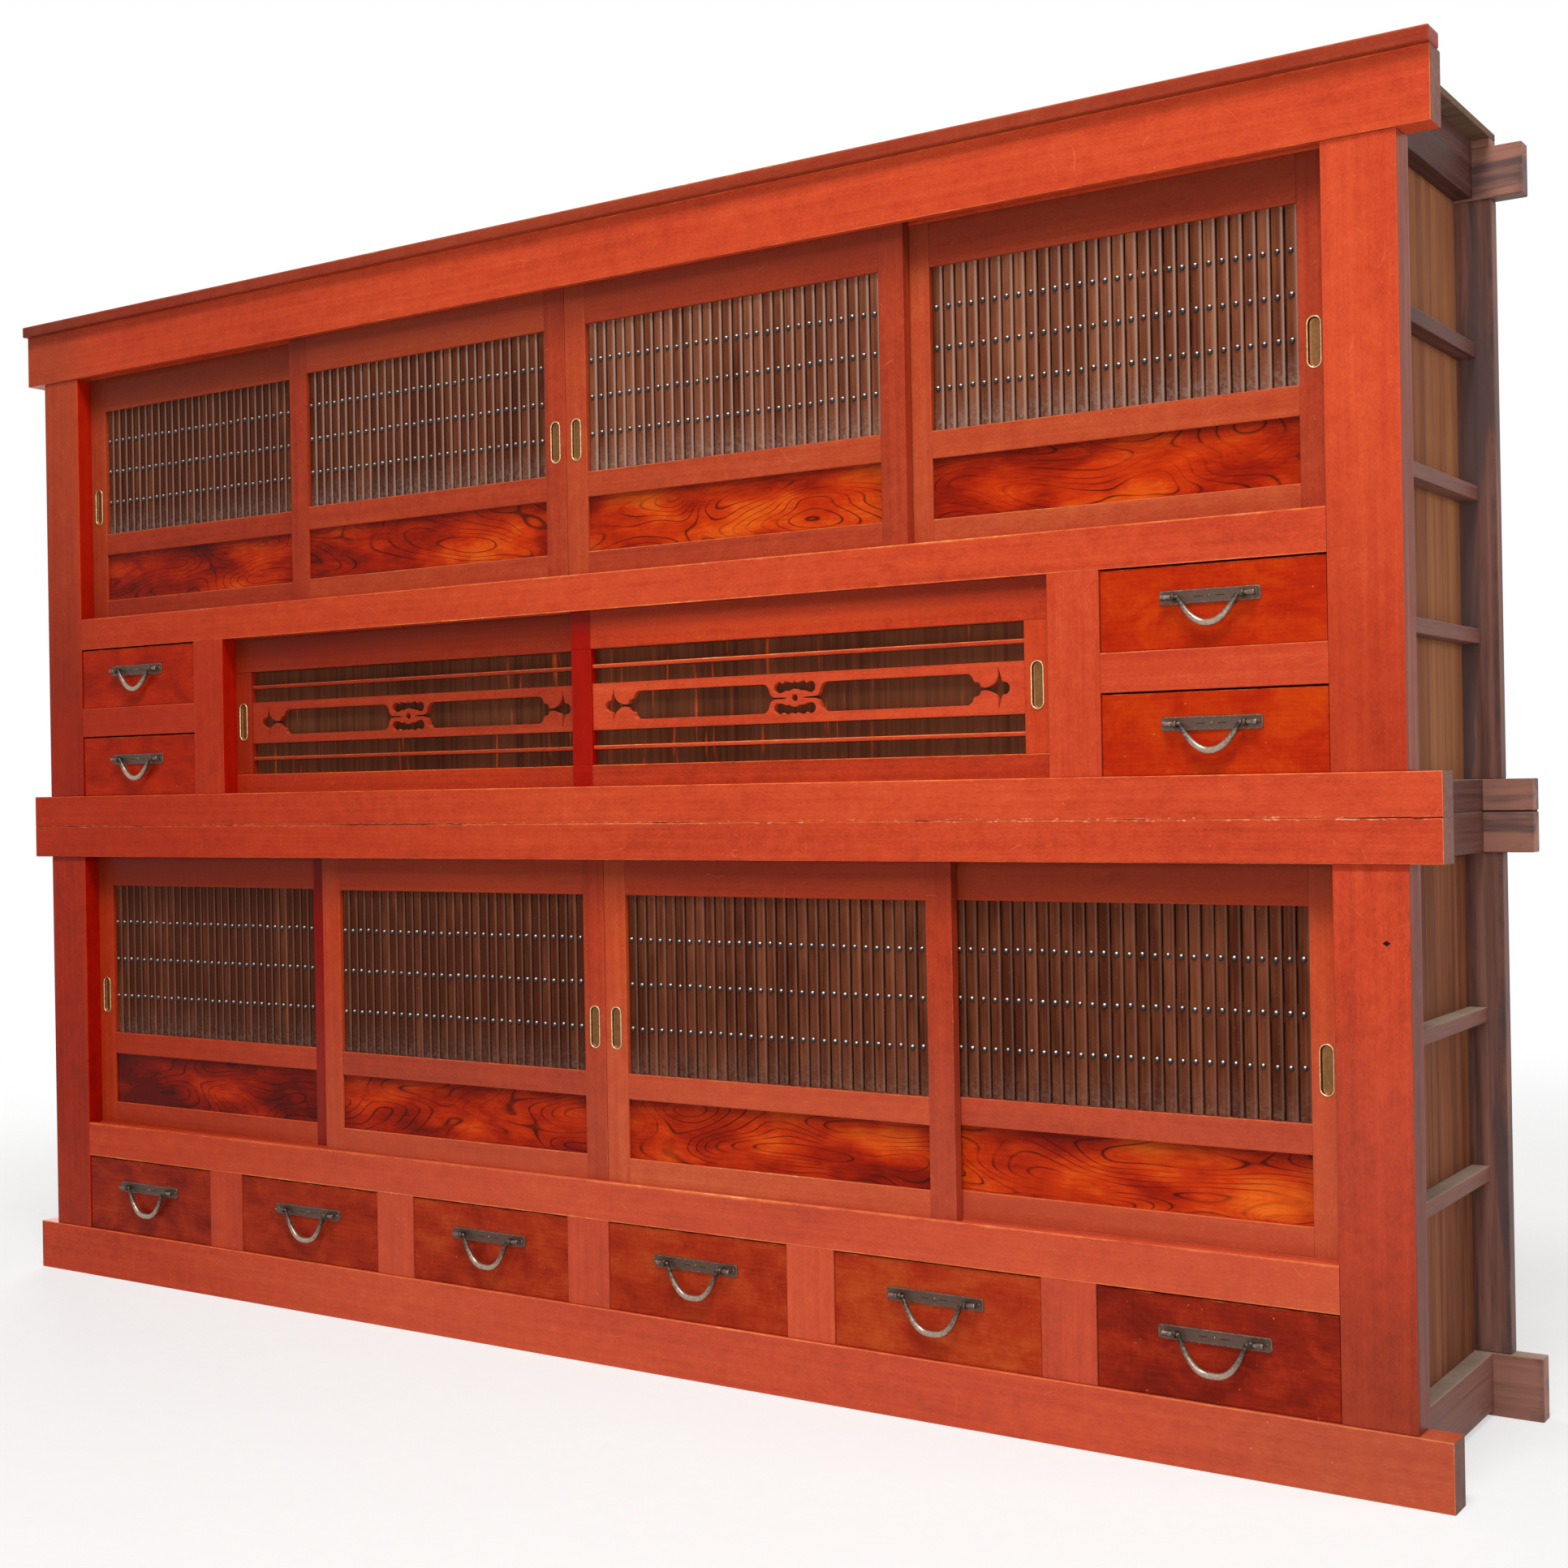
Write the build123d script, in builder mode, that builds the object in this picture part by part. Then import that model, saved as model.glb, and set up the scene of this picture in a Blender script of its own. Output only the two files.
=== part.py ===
from build123d import *
import os

# Mizuya kitchen cabinet: two stacked units with sliding doors and drawers.
# Millimetres. X runs along the front, the front faces -Y, Z is up.
# The origin is the middle of the footprint, on the floor.

# ---------------------------------------------------------------- whole cabinet
body_width = 2640.0           # over the outer faces of the corner posts
body_depth = 460.0            # front face of the posts to the back of the rear frame

# ------------------------------------------------------- front, floor upwards
plinth_height = 89.0
base_drawer_opening = 139.0
lower_rail_height = 62.0
lower_door_opening = 509.0
lower_beam_height = 58.0
sill_height = 58.0
side_drawer_opening = 113.0
drawer_rail_height = 54.0
middle_rail_height = 58.0
upper_door_opening = 462.0
header_height = 95.0
cornice_height = 20.0

# ---------------------------------------------------------------- carcass timber
post_width = 98.0
front_post_depth = 48.0
beam_depth = 44.0             # header, sill, lower beam and plinth
beam_proud = 3.5              # the beams stand this far in front of the posts
beam_overhang = 44.0          # the beams run this far past the posts
beam_round = 1.5
cornice_lip = 11.0
cornice_end_lip = 2.0
cornice_depth = 44.0
track_depth = 56.0            # front face of the posts to the back of the door tracks
rear_post_depth = 27.0
rear_beam_depth = 30.0
rear_top_beam_height = 73.0
roof_bearer_height = 13.0
rear_belt_drop = 12.0         # the upper rear belt lies this far below the sill's top
roof_thickness = 10.0
roof_planks = 3
board_thickness = 12.0        # floors, dust boards and partitions
back_thickness = 8.0
upper_back_planks = 7
lower_back_planks = 7
back_tongue = 8.0
bearer_width = 40.0
bearer_height = 30.0

# side walls
side_rail_setback = 25.0      # outer face of the posts to the outer face of the rails
side_rail_thickness = 27.0
side_rail_height = 21.0
side_panel_thickness = 8.0
panel_tongue = 5.0
upper_side_rail_levels = (180.0, 383.0, 586.0)   # above the sill's top
lower_side_rail_levels = (244.0, 469.0)          # above the plinth's top
top_side_rail_height = 83.0
base_side_rail_height = 80.0

# joinery
post_tenon_length = 24.0
post_tenon_width = 50.0
post_tenon_thickness = 16.0
rail_tenon_length = 30.0
rail_tenon_thickness = 16.0
rail_tenon_shoulder = 8.0

# middle section and base row
side_drawer_bay = 316.0       # post to divider
divider_width = 78.0
base_drawer_count = 6
base_divider_width = 83.0
guide_height = 20.0

# ------------------------------------------------------------------------ doors
door_recess = 9.0             # front face of the posts to the front doors
door_thickness = 18.0
door_gap = 3.0                # between the front and the rear doors
track_play = 1.0              # a groove is this much wider than its door
floor_groove = 3.0
head_groove = 12.0
head_engagement = 8.0         # how far a door reaches into the upper groove
jamb_play = 0.5               # between a closed door and its jamb
meeting_play = 1.0            # between the two front doors where they meet
door_overlap = 35.0           # mean overlap of a rear door and the front door beside it
upper_pair_shift = -24.0      # the upper front pair meets left of the middle
lower_pair_shift = 37.0       # and the lower pair right of it
stile_width = 42.0
lock_rail_height = 40.0
door_tenon_length = 24.0
door_tenon_thickness = 5.0
door_tenon_shoulder = 6.0
upper_top_rail = 64.0
upper_hip_height = 87.0
upper_bottom_rail = 36.0
lower_top_rail = 56.0
lower_hip_height = 93.0
lower_bottom_rail = 39.0
hip_setback = 4.0
hip_thickness = 5.0
hip_tongue = 6.0
backing_thickness = 5.0
backing_rebate = 8.0
slats_per_door = 29
slat_gap = 1.6
slat_depth = 6.0
batten_height = 24.0
batten_rows = 3

# transom doors of the middle section
transom_overlap = 42.0
transom_stile = 40.0
transom_top_rail = 61.0
transom_bottom_rail = 34.0
transom_bar = 6.0
transom_bar_inset = 28.0      # edge of the opening to the middle of a bar
carving_height = 74.0
carving_thickness = 9.0
carving_slot_height = 45.0
carving_slot_round = 10.0
carving_middle = 46.0         # half the width of the middle motif
carving_end = 81.0            # stile to the end of a long slot
carving_eye = 6.0             # radius of the hole in the middle ring
carving_cloud_length = 75.0
carving_cloud_height = 18.0
carving_cloud_level = 16.5    # above and below the middle ring
carving_tip = 10.0            # radius of the hole at each end
carving_tip_setback = 34.0    # stile to the middle of that hole

# finger pulls
pull_height = 68.0
pull_width = 20.0
pull_rim = 3.0
pull_proud = 1.0
pull_recess = 4.0
pull_metal = 1.0
upper_pull_level = 216.0      # above the door opening's floor
lower_pull_level = 243.0
transom_pull_level = 129.0

# ---------------------------------------------------------------------- drawers
drawer_recess = 2.0
drawer_play = 1.0
drawer_head_play = 2.5
drawer_length = 385.0
drawer_front_thickness = 18.0
drawer_wall = 10.0
drawer_bottom = 6.0
drawer_bottom_rise = 4.0
drawer_tongue = 4.0
drawer_wall_drop = 4.0
drawer_round = 1.5

# handles: half the spacing of the eyes, the bail's drop and the plate's length
side_handle_plate = 141.0
side_handle_eyes = 48.0
side_handle_drop = 36.0
side_handle_rise = 11.5       # above the middle of the drawer's opening
base_handle_plate = 158.0
base_handle_eyes = 53.0
base_handle_drop = 48.0
base_handle_rise = 18.0
plate_height = 19.0
plate_thickness = 2.2
plate_round = 4.0
eye_radius = 5.0
eye_width = 6.0
eye_offset = 7.6              # plate face to the pin's axis
pin_radius = 2.5
pin_play = 0.08               # running clearance all round the pin
bail_side_play = 0.5
bail_belly_radius = 5.0
knob_length = 14.0
knob_radius = 4.2

# ------------------------------------------------------------- derived positions
bail_reach = plate_thickness + eye_offset + bail_belly_radius - drawer_recess
front_reach = max(beam_proud + cornice_lip, bail_reach)
front = (front_reach - body_depth) / 2      # Y of the posts' front faces
back = front + body_depth
beam_front = front - beam_proud
beam_back = beam_front + beam_depth
track_back = front + track_depth
post_back = front + front_post_depth
rear_post_front = back - rear_post_depth
rear_beam_front = back - rear_beam_depth

body_half = body_width / 2
beam_half = body_half + beam_overhang
bay_half = body_half - post_width           # inner faces of the posts
rail_outer = body_half - side_rail_setback
panel_outer = rail_outer - side_rail_thickness
room_half = panel_outer - side_panel_thickness

base_floor = plinth_height
lower_rail_bottom = base_floor + base_drawer_opening
lower_floor = lower_rail_bottom + lower_rail_height
lower_beam_bottom = lower_floor + lower_door_opening
lower_top = lower_beam_bottom + lower_beam_height
middle_floor = lower_top + sill_height
middle_opening = 2 * side_drawer_opening + drawer_rail_height
middle_rail_bottom = middle_floor + middle_opening
upper_floor = middle_rail_bottom + middle_rail_height
header_bottom = upper_floor + upper_door_opening
header_top = header_bottom + header_height
rear_belt_top = middle_floor - rear_belt_drop
rear_top_beam_top = header_top - roof_bearer_height
rear_top_beam_bottom = rear_top_beam_top - rear_top_beam_height

front_track = front + door_recess
rear_track = front_track + door_thickness + door_gap
divider_outer = bay_half - side_drawer_bay
divider_inner = divider_outer - divider_width
door_width = (2 * (bay_half - jamb_play) - meeting_play + 2 * door_overlap) / 4
base_pitch = (2 * bay_half + base_divider_width) / base_drawer_count
base_bay = base_pitch - base_divider_width


# ----------------------------------------------------------------------- helpers
def block(x, y, z, mode=Mode.ADD):
    """A squared piece in the part being built, from its low to its high corner."""
    with Locations(((x[0] + x[1]) / 2, (y[0] + y[1]) / 2, (z[0] + z[1]) / 2)):
        Box(x[1] - x[0], y[1] - y[0], z[1] - z[0], mode=mode)


def board(x, y, z):
    """A plain board as a solid of its own."""
    with BuildPart() as plank:
        block(x, y, z)
    return plank.part


def planks(x, y, z, count):
    """Boards side by side along X that fill the given space."""
    width = (x[1] - x[0]) / count
    return [board((x[0] + i * width, x[0] + (i + 1) * width), y, z) for i in range(count)]


def middle_of(pair, size):
    """The stretch of the given size in the middle of a low and a high value."""
    centre = (pair[0] + pair[1]) / 2
    return (centre - size / 2, centre + size / 2)


def mirrored(pair, side):
    """An X stretch on the right-hand (side 1) or the left-hand (side -1) half."""
    return pair if side > 0 else (-pair[1], -pair[0])


def save(label, *solids):
    """Name one sub-part and write it; its solids stay separate pieces."""
    node = solids[0] if len(solids) == 1 else Compound(children=list(solids))
    node.label = label
    export_step(node, f"parts/{label}.step")


def track_grooves(half, bottom, top):
    """Cut the two door grooves, from one height to another, in the part being built."""
    for face in (front_track, rear_track):
        groove = middle_of((face, face + door_thickness), door_thickness + track_play)
        block((-half, half), groove, (bottom, top), mode=Mode.SUBTRACT)


def post_sockets(y, z):
    """Cut sockets for the tenons of a pair of corner posts."""
    for side in (-1, 1):
        across = middle_of(mirrored((bay_half, body_half), side), post_tenon_width)
        block(across, middle_of(y, post_tenon_thickness), z, mode=Mode.SUBTRACT)


def front_beam(bottom, top, grooves=None, groove_half=bay_half, sockets=()):
    """A beam across the front with the strip behind it that closes the rear track."""
    with BuildPart() as beam:
        block((-beam_half, beam_half), (beam_front, beam_back), (bottom, top))
        fillet(beam.edges().filter_by(Axis.X), beam_round)
        if grooves:
            track_grooves(groove_half, *grooves)
        for z in sockets:
            post_sockets((front, post_back), z)
    solids = [beam.part]
    if grooves:
        with BuildPart() as strip:
            block((-room_half, room_half), (beam_back, track_back), (bottom, top))
            track_grooves(groove_half, *grooves)
        solids.append(strip.part)
    return solids


def corner_posts(y, bottom, top, groove, rail_levels=()):
    """Two corner posts with end tenons, panel grooves and mortises for a rail."""
    solids = []
    for side in (-1, 1):
        across = mirrored((bay_half, body_half), side)
        inner = mirrored((bay_half, bay_half + rail_tenon_length), side)
        with BuildPart() as post:
            block(across, y, (bottom, top))
            block(
                middle_of(across, post_tenon_width),
                middle_of(y, post_tenon_thickness),
                (bottom - post_tenon_length, top + post_tenon_length),
            )
            block(
                mirrored((room_half, panel_outer), side), groove, (bottom, top), mode=Mode.SUBTRACT
            )
            for low, high in rail_levels:
                block(
                    inner,
                    middle_of(y, rail_tenon_thickness),
                    (low + rail_tenon_shoulder, high - rail_tenon_shoulder),
                    mode=Mode.SUBTRACT,
                )
        solids.append(post.part)
    return solids


def front_rail(bottom, top, grooves):
    """A rail between the front posts, tenoned into them, with door grooves."""
    with BuildPart() as rail:
        block((-bay_half, bay_half), (front, track_back), (bottom, top))
        block(
            (-bay_half - rail_tenon_length, bay_half + rail_tenon_length),
            middle_of((front, post_back), rail_tenon_thickness),
            (bottom + rail_tenon_shoulder, top - rail_tenon_shoulder),
        )
        for half, low, high in grooves:
            track_grooves(half, low, high)
    return rail.part


def side_wall(bottom, top, rails):
    """The panel and the rails of both ends of one unit; rails are (low, high, front, back)."""
    solids = []
    for side in (-1, 1):
        panel = mirrored((room_half, panel_outer), side)
        solids.append(board(panel, (beam_back, rear_post_front + panel_tongue), (bottom, top)))
        for low, high, near, far in rails:
            with BuildPart() as rail:
                block(mirrored((panel_outer, rail_outer), side), (near, far), (low, high))
                fillet(rail.edges().filter_by(Axis.Y), beam_round)
            solids.append(rail.part)
    return solids


def rear_beam(bottom, top, half=beam_half, sockets=(), boards=None):
    """A beam across the back, grooved for the side panels and the back boards."""
    with BuildPart() as beam:
        block((-half, half), (rear_beam_front, back), (bottom, top))
        for side in (-1, 1):
            block(
                mirrored((room_half, panel_outer), side),
                (rear_beam_front, rear_post_front + panel_tongue),
                (bottom, top),
                mode=Mode.SUBTRACT,
            )
        for z in sockets:
            post_sockets((rear_post_front, back), z)
        if boards:
            block(
                (-bay_half - back_tongue, bay_half + back_tongue),
                (rear_post_front, rear_post_front + back_thickness),
                boards,
                mode=Mode.SUBTRACT,
            )
    return beam.part


def rear_posts(bottom, top):
    """The rear corner posts, rebated for the back boards."""
    solids = []
    groove = (rear_post_front, rear_post_front + panel_tongue)
    for side, plain in zip((-1, 1), corner_posts((rear_post_front, back), bottom, top, groove)):
        with BuildPart() as post:
            add(plain)
            block(
                mirrored((bay_half, bay_half + back_tongue), side),
                (rear_post_front, rear_post_front + back_thickness),
                (bottom, top),
                mode=Mode.SUBTRACT,
            )
        solids.append(post.part)
    return solids


def back_boards(bottom, top, count):
    """Vertical boards between the rear posts, tongued in all round."""
    return planks(
        (-bay_half - back_tongue, bay_half + back_tongue),
        (rear_post_front, rear_post_front + back_thickness),
        (bottom - back_tongue, top + back_tongue),
        count,
    )


def floor_board(top, near, far, bearers):
    """A floor and the bearers under it, given as (middle X, width, height)."""
    under = top - board_thickness
    solids = [board((-room_half, room_half), (near, far), (under, top))]
    for x, width, height in bearers:
        solids.append(board((x - width / 2, x + width / 2), (near, far), (under - height, under)))
    return solids


# ------------------------------------------------------------------- door pieces
def finger_pull(x, face, z):
    """A stadium-shaped brass cup let into a stile."""
    with BuildPart() as pull:
        with BuildSketch(Plane.XZ.offset(pull_proud - face)):
            with Locations((x, z)):
                SlotOverall(pull_height, pull_width, rotation=90)
        extrude(amount=-(pull_recess + pull_metal))
        with BuildSketch(Plane.XZ.offset(pull_proud - face)):
            with Locations((x, z)):
                SlotOverall(pull_height - 2 * pull_rim, pull_width - 2 * pull_rim, rotation=90)
        extrude(amount=-pull_recess, mode=Mode.SUBTRACT)
    return pull.part


def pull_pocket(x, face, z):
    """Cut the pocket of a finger pull in the stile being built."""
    with BuildSketch(Plane.XZ.offset(-face)) as outline:
        with Locations((x, z)):
            SlotOverall(pull_height, pull_width, rotation=90)
    depth = pull_recess + pull_metal - pull_proud
    extrude(outline.sketch, amount=-depth, mode=Mode.SUBTRACT)


def slat_row(left, right, seat, bottom, top):
    """Half-round slats side by side, their flat backs at Y = seat."""
    pitch = (right - left) / slats_per_door
    half = (pitch - slat_gap) / 2
    with BuildSketch() as profile:
        with BuildLine():
            ThreePointArc((-half, 0), (0, -slat_depth), (half, 0))
            Line((half, 0), (-half, 0))
        make_face()
    with BuildPart() as slats:
        with BuildSketch(Plane.XY.offset(bottom)):
            with Locations(((left + right) / 2, seat)):
                with GridLocations(pitch, pitch, slats_per_door, 1):
                    add(profile.sketch)
        extrude(amount=top - bottom)
    return slats.part


def slatted_door(label, left, face, floor, opening, heights, pull_level, pull_side):
    """One sliding door: frame, hip board, slats on battens, backing board and pull."""
    top_rail, hip_height, bottom_rail = heights
    right = left + door_width
    bottom = floor - floor_groove
    top = floor + opening + head_engagement
    hip = (floor + bottom_rail, floor + bottom_rail + hip_height)
    slats = (hip[1] + lock_rail_height, floor + opening - top_rail)
    rails = ((bottom, hip[0]), (hip[1], slats[0]), (slats[1], top))
    inner = (left + stile_width, right - stile_width)
    depth = (face, face + door_thickness)
    tenon_depth = middle_of(depth, door_tenon_thickness)
    hip_depth = (face + hip_setback, face + hip_setback + hip_thickness)
    backing_depth = (depth[1] - backing_thickness, depth[1])
    backing_x = (inner[0] - backing_rebate, inner[1] + backing_rebate)
    backing_z = (slats[0] - backing_rebate, slats[1] + backing_rebate)
    hip_x = (inner[0] - hip_tongue, inner[1] + hip_tongue)
    hip_z = (hip[0] - hip_tongue, hip[1] + hip_tongue)
    tenon_x = (inner[0] - door_tenon_length, inner[1] + door_tenon_length)
    pull_x = left + stile_width / 2 if pull_side < 0 else right - stile_width / 2
    pull_z = floor + pull_level

    solids = []
    for side, x in ((-1, (left, inner[0])), (1, (inner[1], right))):
        with BuildPart() as stile:
            block(x, depth, (bottom, top))
            block(hip_x, hip_depth, hip_z, mode=Mode.SUBTRACT)
            block(backing_x, backing_depth, backing_z, mode=Mode.SUBTRACT)
            for low, high in rails:
                z = (low + door_tenon_shoulder, high - door_tenon_shoulder)
                block(tenon_x, tenon_depth, z, mode=Mode.SUBTRACT)
            if side == pull_side:
                pull_pocket(pull_x, face, pull_z)
        solids.append(stile.part)
    for low, high in rails:
        with BuildPart() as rail:
            block(inner, depth, (low, high))
            block(tenon_x, tenon_depth, (low + door_tenon_shoulder, high - door_tenon_shoulder))
            block(hip_x, hip_depth, hip_z, mode=Mode.SUBTRACT)
            block(backing_x, backing_depth, backing_z, mode=Mode.SUBTRACT)
        solids.append(rail.part)
    solids.append(board(hip_x, hip_depth, hip_z))
    solids.append(board(backing_x, backing_depth, backing_z))
    seat = face + hip_setback + slat_depth
    row = (slats[1] - slats[0]) / (batten_rows + 1)
    for i in range(batten_rows):
        level = slats[0] + (i + 1) * row
        solids.append(board(inner, (seat, backing_depth[0]), middle_of((level, level), batten_height)))
    solids.append(finger_pull(pull_x, face, pull_z))
    save(f"{label}_frame", *solids)
    save(f"{label}_slats", slat_row(*inner, seat, *slats))


def transom_door(label, left, width, face, pull_side):
    """One low sliding door: through rails, stiles between them, bars and a carved board."""
    right = left + width
    bottom = middle_floor - floor_groove
    top = middle_rail_bottom + head_engagement
    window = (middle_floor + transom_bottom_rail, middle_rail_bottom - transom_top_rail)
    inner = (left + transom_stile, right - transom_stile)
    depth = (face, face + door_thickness)
    tenon_depth = middle_of(depth, door_tenon_thickness)
    backing_depth = (depth[1] - backing_thickness, depth[1])
    backing_x = (inner[0] - backing_rebate, inner[1] + backing_rebate)
    backing_z = (window[0] - backing_rebate, window[1] + backing_rebate)
    carving_depth = (face + hip_setback, face + hip_setback + carving_thickness)
    carving_z = middle_of(window, carving_height)
    tongue_x = (inner[0] - hip_tongue, inner[1] + hip_tongue)
    bars = [middle_of((z, z), transom_bar)
            for z in (window[0] + transom_bar_inset, window[1] - transom_bar_inset)]
    pull_x = left + transom_stile / 2 if pull_side < 0 else right - transom_stile / 2
    pull_z = middle_floor + transom_pull_level

    stiles = ((-1, (left, inner[0])), (1, (inner[1], right)))
    tenons = [(x[0] + door_tenon_shoulder, x[1] - door_tenon_shoulder) for _, x in stiles]
    reach = (window[0] - door_tenon_length, window[1] + door_tenon_length)
    solids = []
    for side, x in stiles:
        with BuildPart() as stile:
            block(x, depth, window)
            block((x[0] + door_tenon_shoulder, x[1] - door_tenon_shoulder), tenon_depth, reach)
            block(backing_x, backing_depth, backing_z, mode=Mode.SUBTRACT)
            for z in (*bars, carving_z):
                block(tongue_x, carving_depth, z, mode=Mode.SUBTRACT)
            if side == pull_side:
                pull_pocket(pull_x, face, pull_z)
        solids.append(stile.part)
    for z in ((bottom, window[0]), (window[1], top)):
        with BuildPart() as rail:
            block((left, right), depth, z)
            block(backing_x, backing_depth, backing_z, mode=Mode.SUBTRACT)
            for x in tenons:
                block(x, tenon_depth, reach, mode=Mode.SUBTRACT)
        solids.append(rail.part)
    solids.append(board(backing_x, backing_depth, backing_z))
    solids.append(finger_pull(pull_x, face, pull_z))
    save(f"{label}_frame", *solids)

    centre = ((inner[0] + inner[1]) / 2, (carving_z[0] + carving_z[1]) / 2)
    slot_length = (inner[1] - inner[0]) / 2 - carving_middle - carving_end
    slot_x = carving_middle + slot_length / 2
    tip_x = (inner[1] - inner[0]) / 2 - carving_tip_setback
    with BuildPart() as carving:
        block(tongue_x, carving_depth, carving_z)
        with BuildSketch(Plane.XZ.offset(-carving_depth[0])):
            with Locations((centre[0] - slot_x, centre[1]), (centre[0] + slot_x, centre[1])):
                RectangleRounded(slot_length, carving_slot_height, carving_slot_round)
            with Locations((centre[0] - tip_x, centre[1]), (centre[0] + tip_x, centre[1])):
                Circle(carving_tip)
            with Locations((centre[0], centre[1] - carving_cloud_level),
                           (centre[0], centre[1] + carving_cloud_level)):
                SlotOverall(carving_cloud_length, carving_cloud_height)
            with Locations(centre):
                Circle(carving_eye)
        extrude(amount=-carving_thickness, mode=Mode.SUBTRACT)
    save(f"{label}_carving", carving.part, *[board(tongue_x, carving_depth, z) for z in bars])


# ------------------------------------------------------------------------ drawers
def drawer(label, x, floor, opening, plate_length, eyes, drop, rise):
    """One drawer with its handle plate, and the bail that swings on the plate."""
    width = (x[0] + drawer_play, x[1] - drawer_play)
    z = (floor, floor + opening - drawer_head_play)
    face = front + drawer_recess
    front_depth = (face, face + drawer_front_thickness)
    tail = face + drawer_length
    walls_z = (z[0], z[1] - drawer_wall_drop)
    bottom_z = (z[0] + drawer_bottom_rise, z[0] + drawer_bottom_rise + drawer_bottom)
    inner = (width[0] + drawer_wall, width[1] - drawer_wall)
    bottom_x = (inner[0] - drawer_tongue, inner[1] + drawer_tongue)
    bottom_y = (front_depth[1] - drawer_tongue, tail - drawer_wall + drawer_tongue)

    with BuildPart() as face_board:
        block(width, front_depth, z)
        fillet(face_board.faces().sort_by(Axis.Y)[0].edges(), drawer_round)
        block(bottom_x, bottom_y, bottom_z, mode=Mode.SUBTRACT)
    solids = [face_board.part]
    for wall in ((width[0], inner[0]), (inner[1], width[1])):
        with BuildPart() as side:
            block(wall, (front_depth[1], tail), walls_z)
            block(bottom_x, bottom_y, bottom_z, mode=Mode.SUBTRACT)
        solids.append(side.part)
    with BuildPart() as tail_board:
        block(inner, (tail - drawer_wall, tail), walls_z)
        block(bottom_x, bottom_y, bottom_z, mode=Mode.SUBTRACT)
    solids.append(tail_board.part)
    solids.append(board(bottom_x, bottom_y, bottom_z))

    centre = (width[0] + width[1]) / 2
    level = floor + opening / 2 + rise
    plate_face = face - plate_thickness
    axis = plate_face - eye_offset
    with BuildPart() as plate:
        with BuildSketch(Plane.XZ.offset(-face)):
            with Locations((centre, level)):
                RectangleRounded(plate_length, plate_height, plate_round)
        extrude(amount=plate_thickness)
        for side in (-1, 1):
            eye = centre + side * eyes
            across = (eye - eye_width / 2, eye + eye_width / 2)
            block(across, (axis, plate_face), (level - eye_radius, level + eye_radius))
            with Locations((eye, axis, level)):
                Cylinder(eye_radius, eye_width, rotation=(0, 90, 0))
                Cylinder(pin_radius + pin_play, eye_width, rotation=(0, 90, 0), mode=Mode.SUBTRACT)
    solids.append(plate.part)
    save(f"{label}", *solids)

    half = eyes - eye_width / 2 - bail_side_play - pin_radius
    knob = eyes + eye_width / 2 + bail_side_play
    ends = [(centre - half, axis, level), (centre, axis, level - drop), (centre + half, axis, level)]
    with BuildPart() as bail:
        with BuildLine() as bow:
            ThreePointArc(*ends)
        for along, radius in ((0, pin_radius), (0.5, bail_belly_radius), (1, pin_radius)):
            with BuildSketch(Plane(bow.line @ along, z_dir=bow.line % along)):
                Circle(radius)
        sweep(path=bow.line, multisection=True)
        for side in (-1, 1):
            with Locations((centre + side * half, axis, level)):
                Sphere(pin_radius)
            with Locations((centre + side * (half + knob) / 2, axis, level)):
                Cylinder(pin_radius, knob - half, rotation=(0, 90, 0))
            with Locations((centre + side * (knob + knob_length / 2), axis, level)):
                Cone(pin_radius, knob_radius, knob_length, rotation=(0, 90 * side, 0))
    save(f"{label}_bail", bail.part)


# ================================================================ write the parts
os.makedirs("parts", exist_ok=True)

# upper unit, carcass
tenon = post_tenon_length
head_grooves = (header_bottom, header_bottom + head_groove)
save("upper_header", *front_beam(header_bottom, header_top, head_grooves,
                                 sockets=[(header_bottom, header_bottom + tenon)]))
save("cornice_strip", board(
    (-beam_half - cornice_end_lip, beam_half + cornice_end_lip),
    (beam_front - cornice_lip, beam_front - cornice_lip + cornice_depth),
    (header_top, header_top + cornice_height),
))
roof_front = beam_front - cornice_lip + cornice_depth
plank_depth = (back - roof_front) / roof_planks
save("roof_boards", *[
    board(
        (-body_half, body_half),
        (roof_front + i * plank_depth, roof_front + (i + 1) * plank_depth),
        (header_top, header_top + roof_thickness),
    )
    for i in range(roof_planks)
])
save("upper_front_posts", *corner_posts(
    (front, post_back), middle_floor, header_bottom, (beam_back, post_back),
    [(middle_rail_bottom, upper_floor)],
))
save("upper_middle_rail", front_rail(
    middle_rail_bottom, upper_floor,
    [(bay_half, upper_floor - floor_groove, upper_floor),
     (divider_inner, middle_rail_bottom, middle_rail_bottom + head_groove)],
))
save("upper_sill", *front_beam(
    lower_top, middle_floor, (middle_floor - floor_groove, middle_floor), divider_inner,
    sockets=[(middle_floor - tenon, middle_floor)],
))
save("upper_rear_frame",
     rear_beam(rear_top_beam_bottom, rear_top_beam_top,
               sockets=[(rear_top_beam_bottom, rear_top_beam_bottom + tenon)],
               boards=(rear_top_beam_bottom, rear_top_beam_bottom + back_tongue)),
     rear_beam(rear_top_beam_top, header_top, body_half),
     rear_beam(lower_top, rear_belt_top,
               sockets=[(rear_belt_top - tenon, rear_belt_top)],
               boards=(rear_belt_top - back_tongue, rear_belt_top)),
     *rear_posts(rear_belt_top, rear_top_beam_bottom))
save("upper_side_walls", *side_wall(lower_top, header_top, [
    (header_top - top_side_rail_height, header_top, beam_back, rear_beam_front),
    (lower_top, rear_belt_top, beam_back, rear_beam_front),
    *[(middle_floor + level, middle_floor + level + side_rail_height, post_back, rear_post_front)
      for level in upper_side_rail_levels],
]))
save("upper_back_boards", *back_boards(rear_belt_top, rear_top_beam_bottom, upper_back_planks))
divider_centre = (divider_inner + divider_outer) / 2
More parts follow.
